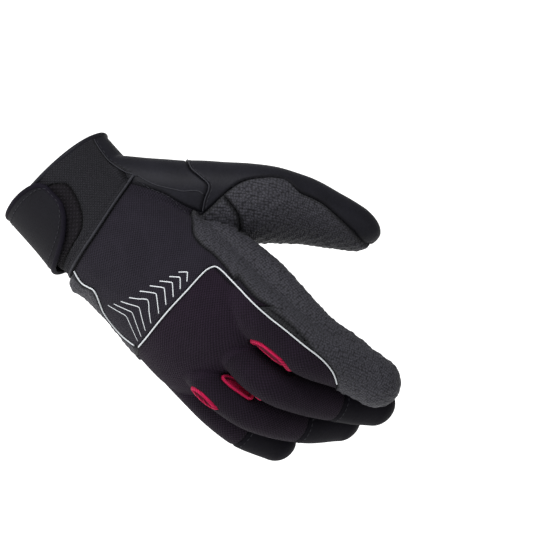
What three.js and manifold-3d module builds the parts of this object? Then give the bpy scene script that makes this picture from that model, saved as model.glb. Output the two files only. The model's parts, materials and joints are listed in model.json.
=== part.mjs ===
// A right-hand work glove with a padded grip palm, standing open as a hand fills it.
// Frame, in millimetres: the origin is the centre of the cuff opening, +X runs to the fingertips,
// +Z to the thumb side, and -Y out of the back of the hand.
import * as THREE from "three";
import { mergeVertices } from "three/addons/utils/BufferGeometryUtils.js";
import Module from "manifold-3d";

const wasm = await Module();
wasm.setup();

// Driving dimensions
const cuffLength = 43;
const handLength = 106; // wrist seam to the end of the palm, between the fingers
const handWidth = 96;
const handDepth = 43;
const handCup = 9; // how far the edges of the hand curl to the palm side
const fingerWidth = 25;
const fingerDepth = 25;
const thumbWidth = 33;
const thumbDepth = 30;
const fingerTip = 11; // length of the rounded end
const thumbTip = 14;
const fabricWall = 2;
const paddedWall = 4; // grip palm with its damping layer
const strapWall = 2.4;
const strapStandoff = 2.6; // the most that the strap stands off the cuff, at the little finger's side
const foldHeight = 3.2;
const pipingRadius = 0.8;
const bindingRadius = 1.4;
const gap = 0.5; // between neighbouring pieces
const handSides = 22;
const fingerSides = 12;

// Sections of the cuff and hand: at is a share of the whole length, width and depth are shares of the
// hand's, side and back are shifts to the thumb side and out of the back, as shares of the same sizes
const handRows = [
  { at: 0.0, width: 0.68, depth: 1.16, side: -0.005, back: 0.0, cup: 0.0, roll: 0, slant: 0.03 },
  { at: 0.157, width: 0.69, depth: 1.14, side: -0.005, back: 0.0, cup: 0.1, roll: 0, slant: 0.0 },
  { at: 0.295, width: 0.74, depth: 1.12, side: -0.005, back: 0.0, cup: 0.2, roll: 1, slant: 0.0 },
  { at: 0.412, width: 0.8, depth: 1.12, side: 0.01, back: 0.0, cup: 0.35, roll: 3, slant: 0.0 },
  { at: 0.56, width: 0.87, depth: 1.12, side: 0.025, back: 0.0, cup: 0.5, roll: 6, slant: 0.0 },
  { at: 0.706, width: 0.92, depth: 1.08, side: 0.025, back: 0.0, cup: 0.5, roll: 9, slant: 0.0 },
  { at: 0.82, width: 0.95, depth: 0.98, side: 0.025, back: -0.02, cup: 0.5, roll: 11, slant: 0.01 },
  { at: 0.9, width: 0.93, depth: 0.8, side: 0.03, back: -0.07, cup: 0.5, roll: 12, slant: 0.03 },
  { at: 0.96, width: 0.86, depth: 0.54, side: 0.04, back: -0.15, cup: 0.5, roll: 12, slant: 0.05 },
  { at: 1.0, width: 0.7, depth: 0.24, side: 0.05, back: -0.23, cup: 0.5, roll: 12, slant: 0.06 },
];

// Each finger's line and thickness: at is a share of the whole length, palm and side are shares of the
// hand's depth and width, and width and depth are shares of the named finger sizes
const indexRows = [
  { at: 0.6, palm: 0.12, side: 0.36, width: 0.9, depth: 0.95 },
  { at: 0.875, palm: -0.09, side: 0.37, width: 1.06, depth: 1.08 },
  { at: 1.0, palm: -0.01, side: 0.38, width: 1.08, depth: 1.1 },
  { at: 1.12, palm: 0.16, side: 0.377, width: 1.08, depth: 1.07 },
  { at: 1.25, palm: 0.635, side: 0.39, width: 1.07, depth: 1.0 },
  { at: 1.355, palm: 0.893, side: 0.39, width: 0.99, depth: 0.91 },
  { at: 1.415, palm: 0.995, side: 0.392, width: 0.865, depth: 0.795 },
];
const middleRows = [
  { at: 0.725, palm: 0.02, side: 0.125, width: 0.86, depth: 0.92 },
  { at: 1.025, palm: 0.05, side: 0.09, width: 0.95, depth: 1.02 },
  { at: 1.09, palm: 0.14, side: 0.086, width: 0.96, depth: 1.04 },
  { at: 1.18, palm: 0.51, side: 0.095, width: 0.98, depth: 1.02 },
  { at: 1.285, palm: 1.09, side: 0.122, width: 0.98, depth: 0.96 },
  { at: 1.335, palm: 1.41, side: 0.14, width: 0.93, depth: 0.9 },
  { at: 1.375, palm: 1.63, side: 0.152, width: 0.88, depth: 0.86 },
];
const ringRows = [
  { at: 0.7, palm: 0.02, side: -0.115, width: 0.84, depth: 0.9 },
  { at: 0.93, palm: 0.04, side: -0.162, width: 0.93, depth: 1.0 },
  { at: 1.0, palm: 0.13, side: -0.17, width: 0.95, depth: 1.02 },
  { at: 1.095, palm: 0.35, side: -0.173, width: 0.96, depth: 1.0 },
  { at: 1.205, palm: 0.91, side: -0.153, width: 0.96, depth: 0.95 },
  { at: 1.265, palm: 1.48, side: -0.116, width: 0.91, depth: 0.89 },
  { at: 1.3, palm: 1.72, side: -0.1, width: 0.86, depth: 0.85 },
];
const littleRows = [
  { at: 0.645, palm: 0.12, side: -0.312, width: 0.8, depth: 0.84 },
  { at: 0.81, palm: 0.28, side: -0.342, width: 0.86, depth: 0.92 },
  { at: 0.9, palm: 0.38, side: -0.362, width: 0.88, depth: 0.94 },
  { at: 0.985, palm: 0.5, side: -0.38, width: 0.9, depth: 0.93 },
  { at: 1.065, palm: 0.67, side: -0.396, width: 0.9, depth: 0.9 },
  { at: 1.165, palm: 1.09, side: -0.406, width: 0.87, depth: 0.85 },
  { at: 1.215, palm: 1.29, side: -0.41, width: 0.83, depth: 0.81 },
];

// The thumb's line: shares of the whole length, and of the hand's depth and width
const thumbRows = [
  { at: 0.19, palm: 0.04, side: 0.15, width: 1.26, depth: 1.1 },
  { at: 0.41, palm: 0.4, side: 0.385, width: 1.4, depth: 1.2 },
  { at: 0.58, palm: 0.79, side: 0.61, width: 1.34, depth: 1.12 },
  { at: 0.68, palm: 1.12, side: 0.695, width: 1.18, depth: 1.04 },
  { at: 0.785, palm: 1.4, side: 0.74, width: 0.92, depth: 0.85 },
  { at: 0.855, palm: 1.59, side: 0.768, width: 0.74, depth: 0.69 },
  { at: 0.915, palm: 1.79, side: 0.79, width: 0.59, depth: 0.56 },
];
// The padded web from the thumb's root to the index finger's, in the same shares
const webRows = [
  { at: 0.49, palm: 0.2, side: 0.28, width: 0.7, depth: 0.8 },
  { at: 0.6, palm: 0.26, side: 0.355, width: 0.8, depth: 0.85 },
  { at: 0.7, palm: 0.3, side: 0.393, width: 0.82, depth: 0.85 },
  { at: 0.8, palm: 0.32, side: 0.416, width: 0.8, depth: 0.83 },
  { at: 0.9, palm: 0.32, side: 0.43, width: 0.76, depth: 0.79 },
  { at: 1.0, palm: 0.34, side: 0.434, width: 0.72, depth: 0.75 },
  { at: 1.1, palm: 0.42, side: 0.432, width: 0.67, depth: 0.69 },
  { at: 1.2, palm: 0.62, side: 0.434, width: 0.58, depth: 0.6 },
  { at: 1.3, palm: 0.92, side: 0.42, width: 0.48, depth: 0.5 },
];
const thumbFace = new THREE.Vector3(0.1, -0.75, -0.25); // the way its pad faces, roughly
const fingerFace = new THREE.Vector3(-0.6, 0.8, 0);
const webFace = new THREE.Vector3(0, 1, 0);

const wholeLength = cuffLength + handLength;
const rad = THREE.MathUtils.degToRad;
const between = (first, last, count) =>
  Array.from({ length: count + 1 }, (_, i) => THREE.MathUtils.lerp(first, last, i / count));

// Value of a named column at a share of the length, along a smooth curve through the rows
function column(rows, key, at) {
  const last = rows.length - 1;
  let i = 0;
  while (i < last - 1 && at > rows[i + 1].at) i++;
  const [a, b] = [rows[i], rows[i + 1]];
  const slope = (j) => {
    const [p, q] = [rows[Math.max(j - 1, 0)], rows[Math.min(j + 1, last)]];
    return (q[key] - p[key]) / (q.at - p.at);
  };
  const span = b.at - a.at;
  const t = THREE.MathUtils.clamp((at - a.at) / span, 0, 1);
  const [s0, s1] = [slope(i) * span, slope(i + 1) * span];
  return (
    (2 * t ** 3 - 3 * t ** 2 + 1) * a[key] + (t ** 3 - 2 * t ** 2 + t) * s0 +
    (3 * t ** 2 - 2 * t ** 3) * b[key] + (t ** 3 - t ** 2) * s1
  );
}

// Unit outline of a section, a rounded oval: 0 degrees is the back, 90 the thumb side
function oval(angle, power) {
  const squash = (v) => Math.sign(v) * Math.abs(v) ** (2 / power);
  return { side: squash(Math.sin(rad(angle))), back: squash(Math.cos(rad(angle))) };
}

// Dents and bulges of the hand's surface: heights are shares of foldHeight, with centres and spreads
const folds = [
  { at: 0.345, angle: -58, height: 0.8, along: 0.03, around: 17 },
  { at: 0.3, angle: -62, height: -0.5, along: 0.022, around: 22 },
  { at: 0.31, angle: 180, height: -0.55, along: 0.03, around: 60 },
  { at: 0.24, angle: 92, height: -0.45, along: 0.025, around: 26 },
];

function swell(body, at, angle) {
  if (body !== bodies.hand) return 0;
  return folds.reduce((sum, fold) => {
    const along = (at - fold.at) / fold.along;
    const turn = THREE.MathUtils.euclideanModulo(angle - fold.angle + 180, 360) - 180;
    return sum + fold.height * foldHeight * Math.exp(-(along ** 2) - (turn / fold.around) ** 2);
  }, 0);
}

// The cuff's cloth starts behind its binding, whose outer edge is the opening
const clothStart = (2 * bindingRadius + gap) / wholeLength;

// A body is a tube given by its frame at each share of its length: centre, side and back directions,
// half width, half depth and cup
function handFrame(at) {
  const width = (column(handRows, "width", at) * handWidth) / 2;
  const depth = (column(handRows, "depth", at) * handDepth) / 2;
  const roll = rad(column(handRows, "roll", at));
  return {
    centre: new THREE.Vector3(
      at * wholeLength,
      -column(handRows, "back", at) * handDepth,
      column(handRows, "side", at) * handWidth,
    ),
    side: new THREE.Vector3(0, -Math.sin(roll), Math.cos(roll)),
    back: new THREE.Vector3(0, -Math.cos(roll), -Math.sin(roll)),
    width, depth,
    cup: column(handRows, "cup", at) * handCup,
    slant: column(handRows, "slant", at) * handWidth,
  };
}

function bentBody(rows, face, wide, deep, tip) {
  const points = rows.map((r) => new THREE.Vector3(
    r.at * wholeLength, r.palm * handDepth, r.side * handWidth));
  const curve = new THREE.CatmullRomCurve3(points, false, "centripetal");
  const length = curve.getLength();
  let run = 0;
  const shares = rows.map((r, i) => {
    if (i > 0) run += points[i].distanceTo(points[i - 1]);
    return { ...r, at: run };
  }).map((r) => ({ ...r, at: r.at / run }));
  const tipStart = 1 - tip / length;
  const dome = (at) => {
    const run = THREE.MathUtils.clamp((at - tipStart) / (1 - tipStart), 0, 0.99);
    return Math.sqrt(1 - run ** 2);
  };
  return {
    sides: fingerSides, power: 2.15, length,
    rings: [...between(0, tipStart, 7), ...[30, 52, 72, 90].map((turn) =>
      THREE.MathUtils.lerp(tipStart, 1, Math.sin(rad(turn))))],
    frame(at) {
      const inside = THREE.MathUtils.clamp(at, 0, 1);
      const along = curve.getTangentAt(inside);
      const back = face.clone().negate();
      back.addScaledVector(along, -back.dot(along)).normalize();
      const side = new THREE.Vector3().crossVectors(back, along);
      return {
        centre: curve.getPointAt(inside).addScaledVector(along, (at - inside) * length),
        side, back,
        width: (column(shares, "width", inside) * dome(at) * wide) / 2,
        depth: (column(shares, "depth", inside) * dome(at) * deep) / 2,
        cup: 0,
      };
    },
  };
}

const bodies = {
  hand: { sides: handSides, rings: between(clothStart, 1, 15), power: 2.25, length: wholeLength, frame: handFrame },
  index: bentBody(indexRows, fingerFace, fingerWidth, fingerDepth, fingerTip),
  middle: bentBody(middleRows, fingerFace, fingerWidth, fingerDepth, fingerTip),
  ring: bentBody(ringRows, fingerFace, fingerWidth, fingerDepth, fingerTip),
  little: bentBody(littleRows, fingerFace, fingerWidth, fingerDepth, fingerTip),
  thumb: bentBody(thumbRows, thumbFace, thumbWidth, thumbDepth, thumbTip),
  web: bentBody(webRows, webFace, thumbWidth, thumbDepth, thumbTip),
};

// A point of a body's surface, moved out by a distance, or in when it is negative
function surfacePoint(body, at, angle, out = 0) {
  const f = body.frame(at);
  const unit = oval(angle, body.power);
  const reach = out + swell(body, at, angle);
  const side = unit.side * (f.width + reach);
  const back = unit.back * (f.depth + reach);
  const point = f.centre.clone().addScaledVector(f.side, side).addScaledVector(f.back, back);
  if (f.cup) point.addScaledVector(f.back, -f.cup * (side / (handWidth / 2)) ** 2);
  if (f.slant) point.x += (f.slant * side) / (handWidth / 2);
  return point;
}

// A closed loft through rings of points, each ring with as many points
function loft(rings, closed = false) {
  const count = rings[0].length;
  const positions = rings.flat().flatMap((p) => [p.x, p.y, p.z]);
  const index = [];
  for (let r = 0; r + (closed ? 0 : 1) < rings.length; r++) {
    const next = ((r + 1) % rings.length) * count;
    for (let i = 0; i < count; i++) {
      const j = (i + 1) % count;
      index.push(r * count + i, next + i, r * count + j, r * count + j, next + i, next + j);
    }
  }
  const ends = closed ? [] : [[0, 1], [rings.length - 1, -1]];
  for (const [r, turn] of ends) {
    const middle = rings[r].reduce((sum, p) => sum.add(p), new THREE.Vector3()).divideScalar(count);
    positions.push(middle.x, middle.y, middle.z);
    const centre = positions.length / 3 - 1;
    for (let i = 0; i < count; i++) {
      const [a, b] = [r * count + i, r * count + ((i + 1) % count)];
      index.push(...(turn > 0 ? [centre, a, b] : [centre, b, a]));
    }
  }
  return solidFrom(positions, index);
}

// A closed slab between two grids of points, each grid a list of rows
function slab(upper, lower) {
  const [rows, columns] = [upper.length, upper[0].length];
  const positions = [...upper.flat(), ...lower.flat()].flatMap((p) => [p.x, p.y, p.z]);
  const under = rows * columns;
  const index = [];
  const quad = (a, b, c, d) => index.push(a, b, c, a, c, d);
  const at = (r, c) => r * columns + c;
  for (let r = 0; r + 1 < rows; r++)
    for (let c = 0; c + 1 < columns; c++) {
      quad(at(r, c), at(r, c + 1), at(r + 1, c + 1), at(r + 1, c));
      quad(under + at(r, c), under + at(r + 1, c), under + at(r + 1, c + 1), under + at(r, c + 1));
    }
  for (let r = 0; r + 1 < rows; r++)
    for (const [c, flip] of [[0, false], [columns - 1, true]]) {
      const [a, b] = flip ? [at(r, c), at(r + 1, c)] : [at(r + 1, c), at(r, c)];
      quad(a, under + a, under + b, b);
    }
  for (let c = 0; c + 1 < columns; c++)
    for (const [r, flip] of [[0, false], [rows - 1, true]]) {
      const [a, b] = flip ? [at(r, c + 1), at(r, c)] : [at(r, c), at(r, c + 1)];
      quad(a, under + a, under + b, b);
    }
  return solidFrom(positions, index);
}

function solidFrom(positions, index) {
  const geometry = new THREE.BufferGeometry();
  geometry.setAttribute("position", new THREE.Float32BufferAttribute(positions, 3));
  geometry.setIndex(index);
  const merged = mergeVertices(geometry, 1e-4);
  const build = (triangles) => new wasm.Manifold(new wasm.Mesh({
    numProp: 3,
    vertProperties: merged.attributes.position.array,
    triVerts: new Uint32Array(triangles),
  }));
  const triangles = Array.from(merged.index.array);
  const solid = build(triangles);
  return solid.volume() > 0 ? solid : build(triangles.reverse());
}

function geometryOf(solid) {
  const mesh = solid.getMesh();
  const geometry = new THREE.BufferGeometry();
  geometry.setAttribute("position", new THREE.BufferAttribute(mesh.vertProperties, 3));
  geometry.setIndex(new THREE.BufferAttribute(mesh.triVerts, 1));
  return geometry;
}

// A body's tube through rings at shares of its length; out may depend on the angle
function tubeOf(body, shares, sides, out) {
  const rings = [];
  for (const at of shares) {
    const ring = [];
    for (let i = 0; i < sides; i++) {
      const angle = (i * 360) / sides;
      ring.push(surfacePoint(body, at, angle, typeof out === "function" ? out(angle) : out));
    }
    rings.push(ring);
  }
  return loft(rings);
}

const join = (solids) => solids.reduce((all, solid) => all.add(solid));
const turnTo = (angle, target) =>
  Math.abs(THREE.MathUtils.euclideanModulo(angle - target + 180, 360) - 180);

// Walls are thick where the padded grip lies and thin under fabric: padded is the middle of the grip
const wallUnder = (padded) => (angle) =>
  -THREE.MathUtils.lerp(paddedWall, fabricWall, THREE.MathUtils.smoothstep(turnTo(angle, padded), 80, 110));
const cavities = [
  { body: bodies.hand, from: -0.06, to: 0.965, steps: 8, sides: 14, wall: wallUnder(180) },
  { body: bodies.index, from: 0.08, to: 0.97, steps: 8, sides: 8, wall: wallUnder(150) },
  { body: bodies.middle, from: 0.08, to: 0.97, steps: 8, sides: 8, wall: wallUnder(180) },
  { body: bodies.ring, from: 0.07, to: 0.97, steps: 8, sides: 8, wall: wallUnder(180) },
  { body: bodies.little, from: 0.06, to: 0.96, steps: 7, sides: 8, wall: wallUnder(180) },
  { body: bodies.thumb, from: 0.08, to: 0.97, steps: 7, sides: 8, wall: wallUnder(130) },
  { body: bodies.web, from: 0.1, to: 0.87, steps: 5, sides: 8, wall: () => -paddedWall },
];
const outer = join(Object.values(bodies).map((b) => tubeOf(b, b.rings, b.sides, 0)));
const inner = join(cavities.map((c) => tubeOf(c.body, between(c.from, c.to, c.steps), c.sides, c.wall)));

// Borders of the pieces on the bodies, in shares of the length and in degrees
const cuffSeam = [ // at is the angle
  { at: -180, share: 0.285 }, { at: -100, share: 0.3 }, { at: -28, share: 0.315 },
  { at: 6, share: 0.305 }, { at: 40, share: 0.28 }, { at: 88, share: 0.235 },
];
const cuffRadial = [
  { at: 0.0, angle: 84 }, { at: 0.03, angle: 80 }, { at: 0.07, angle: 77 }, { at: 0.146, angle: 74 },
  { at: 0.207, angle: 74 }, { at: 0.24, angle: 77 }, { at: 0.3, angle: 80 },
];
const backSides = [
  { at: 0.2, ulnar: -40, radial: 78 }, { at: 0.315, ulnar: -34, radial: 81 },
  { at: 0.375, ulnar: -37, radial: 86 }, { at: 0.425, ulnar: -31, radial: 91 },
  { at: 0.465, ulnar: -40, radial: 94 }, { at: 0.495, ulnar: -51, radial: 91 },
  { at: 0.55, ulnar: -57, radial: 74 }, { at: 0.605, ulnar: -50, radial: 70 },
  { at: 0.665, ulnar: -40, radial: 73 }, { at: 0.73, ulnar: -36, radial: 73 },
  { at: 0.85, ulnar: -36, radial: 65 }, { at: 1.0, ulnar: -36, radial: 60 },
];
const pipingAcross = [ // at is the angle on the hand
  { at: -36, share: 0.675 }, { at: -14, share: 0.69 }, { at: 28, share: 0.7 },
  { at: 56, share: 0.696 }, { at: 64, share: 0.702 }, { at: 68, share: 0.73 },
];
const pipingOnIndex = [
  { at: 0.23, angle: 38 }, { at: 0.34, angle: 40 }, { at: 0.43, angle: 37 }, { at: 0.55, angle: 36 },
  { at: 0.605, angle: 31 }, { at: 0.64, angle: 22 }, { at: 0.67, angle: 12 }, { at: 0.71, angle: -5 },
  { at: 0.745, angle: -28 }, { at: 0.77, angle: -60 }, { at: 0.78, angle: -82 },
];
const stripOnIndex = [
  { at: 0.23, angle: 54 }, { at: 0.43, angle: 52 }, { at: 0.55, angle: 46 }, { at: 0.61, angle: 24 },
];
const thumbPadEdge = [ // from the nail side, round the back
  { at: 0.2, angle: -138 }, { at: 0.31, angle: -152 }, { at: 0.345, angle: -171 },
  { at: 0.367, angle: -166 }, { at: 0.392, angle: -157 }, { at: 0.43, angle: -141 }, { at: 0.505, angle: -112 },
  { at: 0.6, angle: -94 }, { at: 0.66, angle: -110 }, { at: 0.76, angle: -114 },
  { at: 0.885, angle: -146 }, { at: 0.945, angle: -176 }, { at: 0.98, angle: -184 },
];
const thumbPadStart = [ // at is the angle
  { at: -24, share: 0.245 }, { at: 30, share: 0.25 }, { at: 75, share: 0.34 },
  { at: 110, share: 0.44 }, { at: 180, share: 0.48 }, { at: 222, share: 0.42 },
];
const goreEdge = [
  { at: 0.0, angle: -128 }, { at: 0.2, angle: -140 }, { at: 0.3, angle: -160 }, { at: 0.38, angle: -174 },
];
const leatherStart = [ // at is the angle
  { at: -168, share: 0.35 }, { at: -150, share: 0.36 }, { at: -128, share: 0.375 },
  { at: -112, share: 0.34 }, { at: -92, share: 0.295 }, { at: -20, share: 0.245 },
];

const clearOfSkin = 1.2; // how far a cutting region stands out of the surface
const proud = 3; // where two bodies blend
const wellProud = 7; // where a body bulges out of another
const throughWall = 0.62; // and reaches in, as a share of the body's smaller half size

// A region is a slab through the walls of a body, between two shares of its length and two angles;
// a limit may be a number or a function, of the angle for from and to, of the share for left and right
function region(limits, grow = 0) {
  const { body, from, to, left, right, out = clearOfSkin, along = 7, around = 5 } = limits;
  const value = (limit, x) => (typeof limit === "function" ? limit(x) : limit);
  const middle = (value(left, 0.5) + value(right, 0.5)) / 2;
  const [first, last] = [value(from, middle), value(to, middle)];
  const widen = grow / body.length;
  const [upper, lower] = [[], []];
  for (let r = 0; r <= along; r++) {
    const rough = THREE.MathUtils.lerp(first, last, r / along);
    const frame = body.frame(rough);
    const turn = (angle) =>
      grow / surfacePoint(body, rough, angle).distanceTo(surfacePoint(body, rough, angle + 1));
    const [begin, end] = [value(left, rough), value(right, rough)];
    const [high, low] = [[], []];
    for (let c = 0; c <= around; c++) {
      const angle = THREE.MathUtils.lerp(begin - turn(begin), end + turn(end), c / around);
      const at = THREE.MathUtils.lerp(value(from, angle) - widen, value(to, angle) + widen, r / along);
      high.push(surfacePoint(body, at, angle, out + grow));
      low.push(surfacePoint(body, at, angle, -throughWall * Math.min(frame.width, frame.depth) - grow));
    }
    upper.push(high);
    lower.push(low);
  }
  return slab(upper, lower);
}

function cap(body, from, grow = 0) {
  const start = from - grow / body.length;
  const reach = clearOfSkin + grow;
  const shares = [start, ...body.rings.filter((at) => at > start), 1 + reach / body.length];
  return tubeOf(body, shares, body.sides, reach);
}

const tables = (rows, key) => (x) => column(rows, key, x);
const { hand, index, middle, ring, little, thumb } = bodies;
const fingerBacks = [[middle, 0.72], [ring, 0.69], [little, 0.675]];
const flank = (centre, half, from, to) => (side) => (at) => {
  const u = (at - from) / (to - from);
  return centre + side * half * Math.sqrt(Math.max(1 - (2 * u - 1) ** 2, 0.03));
};
const gussets = [
  { name: "gusset_index_middle", body: index, centre: -58, half: 20, from: 0.39, to: 0.575 },
  { name: "gusset_middle_ring", body: ring, centre: 62, half: 19, from: 0.28, to: 0.44 },
  { name: "gusset_ring_little", body: ring, centre: -38, half: 16, from: 0.235, to: 0.36 },
];

const pieces = new Map();
let rest = outer.subtract(inner);

function largest(solid) {
  return solid.decompose().reduce((best, s) => (s.volume() > best.volume() ? s : best));
}

function carve(name, regionOf) {
  pieces.set(name, largest(rest.intersect(regionOf(0))));
  rest = rest.subtract(regionOf(gap));
}

for (const [body, from] of fingerBacks) {
  const name = "cap_" + Object.keys(bodies).find((key) => bodies[key] === body);
  carve(name, (grow) => cap(body, from, grow));
}
for (const { name, body, centre, half, from, to } of gussets) {
  const edge = flank(centre, half, from, to);
  carve(name, (grow) => region({ body, from, to, left: edge(-1), right: edge(1), out: proud, along: 6, around: 2 }, grow));
}
carve("cuff_back", (grow) => region({
  body: hand, from: -0.04, to: tables(cuffSeam, "share"),
  left: -104, right: tables(cuffRadial, "angle"), out: proud,
}, grow));
carve("cuff_gore", (grow) => join([
  region({ body: hand, from: -0.04, to: tables(cuffSeam, "share"), left: 70, right: 260, out: proud }, grow),
  region({
    body: thumb, from: 0, to: tables(leatherStart, "share"),
    left: tables(goreEdge, "angle"), right: -26, out: proud,
  }, grow),
]));
carve("thumb_outer", (grow) => join([
  region({ body: thumb, from: 0.2, to: 0.97, left: tables(thumbPadEdge, "angle"), right: -26, out: proud }, grow),
  cap(thumb, 0.96, grow),
]));
carve("thumb_pad", (grow) => region({
  body: thumb, from: tables(thumbPadStart, "share"), to: 0.965,
  left: -30, right: (at) => 360 + column(thumbPadEdge, "angle", at) + 4, out: proud, around: 14,
}, 1.6 * grow));
const knuckleSides = { left: -62, right: (at) => THREE.MathUtils.lerp(66, 60, at) };
carve("knuckle_panel", (grow) => join([
  region({ body: hand, from: tables(pipingAcross, "share"), to: 0.97, ...knuckleSides, out: wellProud }, grow),
  region({ body: index, from: 0.25, to: 0.775, left: -82, right: tables(pipingOnIndex, "angle") }, grow),
  ...fingerBacks.map(([body, to]) =>
    region({ body, from: 0.06, to: to + 0.03, left: -80, right: 80 }, grow)),
]));
carve("back_panel", (grow) => join([
  region({
    body: hand, from: 0.2, to: tables(pipingAcross, "share"),
    left: tables(backSides, "ulnar"), right: tables(backSides, "radial"), out: wellProud, along: 11, around: 6,
  }, grow),
  region({ body: hand, from: 0.66, to: 0.99, left: 60, right: tables(backSides, "radial"), out: wellProud }, grow),
  region({ body: index, from: 0.23, to: 0.61, left: 0, right: tables(stripOnIndex, "angle"), out: proud }, grow),
]));
pieces.set("palm_grip", largest(rest));

const trimLift = pipingRadius + gap;

// Trim lies on the skin: its line is a list of shares and angles on one body, found on the joined skin
const skin = new THREE.Mesh(geometryOf(outer), new THREE.MeshBasicMaterial({ side: THREE.DoubleSide }));
const outOfReach = 22; // a start for rays that lies clear of every body

function onSkin({ body, at, angle }, lift) {
  const far = surfacePoint(body, at, angle, outOfReach);
  const away = far.clone().sub(surfacePoint(body, at, angle, 0)).normalize();
  const [hit] = new THREE.Raycaster(far, away.clone().negate()).intersectObject(skin);
  return hit.point.addScaledVector(away, lift);
}

function cord(points, radius, steps, sides, closed = false) {
  const line = new THREE.CatmullRomCurve3(points, closed, "centripetal");
  const frames = line.computeFrenetFrames(steps, closed);
  const rings = [];
  for (let i = 0; i < (closed ? steps : steps + 1); i++) {
    const centre = line.getPointAt(i / steps);
    const ring = [];
    for (let j = 0; j < sides; j++) {
      const turn = (2 * Math.PI * j) / sides;
      ring.push(centre.clone()
        .addScaledVector(frames.normals[i], Math.cos(turn) * radius)
        .addScaledVector(frames.binormals[i], Math.sin(turn) * radius));
    }
    rings.push(ring);
  }
  return loft(rings, closed);
}

const mainPipingLine = [
  ...between(-36, 67, 12).map((angle) => ({ body: hand, at: column(pipingAcross, "share", angle), angle })),
  ...between(0.27, 0.735, 13).map((at) => ({ body: index, at, angle: column(pipingOnIndex, "angle", at) })),
];
const sidePipingLine = between(0.32, 0.655, 12).map((at) =>
  ({ body: hand, at, angle: column(backSides, "ulnar", at) }));
pieces.set("main_piping", cord(mainPipingLine.map((p) => onSkin(p, trimLift)), pipingRadius, 52, 5));
pieces.set("side_piping", cord(sidePipingLine.map((p) => onSkin(p, trimLift)), pipingRadius, 22, 5));

const cuffEdge = [];
for (let i = 0; i < 24; i++) {
  const point = surfacePoint(hand, clothStart, i * 15, -fabricWall / 2);
  cuffEdge.push(point.setX(point.x - bindingRadius - gap));
}
pieces.set("cuff_binding", cord(cuffEdge, bindingRadius, 36, 6, true));

// The wrist strap: from the palm side round the little finger's side to a rounded tab on the back
const strapRows = [ // at is the angle, middle and half are shares of the length, lift of strapStandoff
  { at: -168, middle: 0.125, half: 0.1, lift: 0.1 },
  { at: -140, middle: 0.125, half: 0.11, lift: 0.4 },
  { at: -100, middle: 0.127, half: 0.12, lift: 0.85 },
  { at: -60, middle: 0.126, half: 0.125, lift: 1.0 },
  { at: -36, middle: 0.124, half: 0.125, lift: 0.8 },
  { at: -20, middle: 0.118, half: 0.119, lift: 0.6 },
  { at: -8, middle: 0.11, half: 0.104, lift: 0.45 },
  { at: 0, middle: 0.1, half: 0.08, lift: 0.4 },
  { at: 5, middle: 0.092, half: 0.042, lift: 0.4 },
];
const strapEdge = (side, inset) => (angle) => {
  const half = column(strapRows, "half", angle) - inset;
  return column(strapRows, "middle", angle) + side * Math.max(half, 0.01);
};
function strapGrid(out) {
  const grid = [];
  for (const angle of [-168, -150, -130, -110, -90, -72, -56, -42, -30, -20, -12, -5, 1, 5]) {
    const row = [];
    for (let i = 0; i <= 6; i++) {
      const at = THREE.MathUtils.lerp(strapEdge(-1, 0)(angle), strapEdge(1, 0)(angle), i / 6);
      row.push(surfacePoint(hand, at, angle, column(strapRows, "lift", angle) * strapStandoff + out));
    }
    grid.push(row);
  }
  return grid;
}
pieces.set("wrist_strap", slab(strapGrid(gap + strapWall), strapGrid(gap)));

const rimAngles = [-158, -140, -120, -100, -80, -62, -46, -34, -24, -15, -8, -3];
const rimInset = 0.014;
const rimPoint = (side) => (angle) => surfacePoint(
  hand, strapEdge(side, rimInset)(angle), angle,
  column(strapRows, "lift", angle) * strapStandoff + gap + strapWall + trimLift);
const rimLine = [...rimAngles.map(rimPoint(-1)), ...rimAngles.toReversed().map(rimPoint(1))];
pieces.set("strap_rim", cord(rimLine, pipingRadius, 40, 5));

const look = {
  fabric: new THREE.MeshStandardMaterial({ color: 0x26232e, roughness: 0.85 }),
  loop: new THREE.MeshStandardMaterial({ color: 0x28282b, roughness: 0.9 }),
  leather: new THREE.MeshStandardMaterial({ color: 0x23252d, roughness: 0.6 }),
  grip: new THREE.MeshStandardMaterial({ color: 0x3c3c40, roughness: 0.9 }),
  capLeather: new THREE.MeshStandardMaterial({ color: 0x1c1c1f, roughness: 0.6 }),
  red: new THREE.MeshStandardMaterial({ color: 0xb00040, roughness: 0.8 }),
  pale: new THREE.MeshStandardMaterial({ color: 0xdfe4e6, roughness: 0.5 }),
};
const looks = {
  cuff_back: look.loop, cuff_gore: look.leather, thumb_outer: look.leather, thumb_pad: look.grip,
  knuckle_panel: look.fabric, back_panel: look.fabric, palm_grip: look.grip,
  main_piping: look.pale, side_piping: look.pale, cuff_binding: look.leather,
  wrist_strap: look.loop, strap_rim: look.capLeather,
};

const glove = new THREE.Group();
glove.name = "glove";
for (const [name, solid] of pieces) {
  const material = looks[name] ?? (name.startsWith("gusset") ? look.red : look.capLeather);
  const mesh = new THREE.Mesh(geometryOf(solid), material);
  mesh.name = name;
  glove.add(mesh);
}
export default glove;
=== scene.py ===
"""A right-hand work glove with a padded grip palm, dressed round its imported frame.

The soft form is worked out in millimetres from the frame's own sizes and tables, and becomes metres when
a mesh is made. +X runs to the fingertips, +Z to the thumb's side, and -Y out of the back of the hand.
"""
import json
import math

import bpy
import numpy as np
from mathutils import Matrix, Vector
from mathutils.bvhtree import BVHTree


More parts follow.
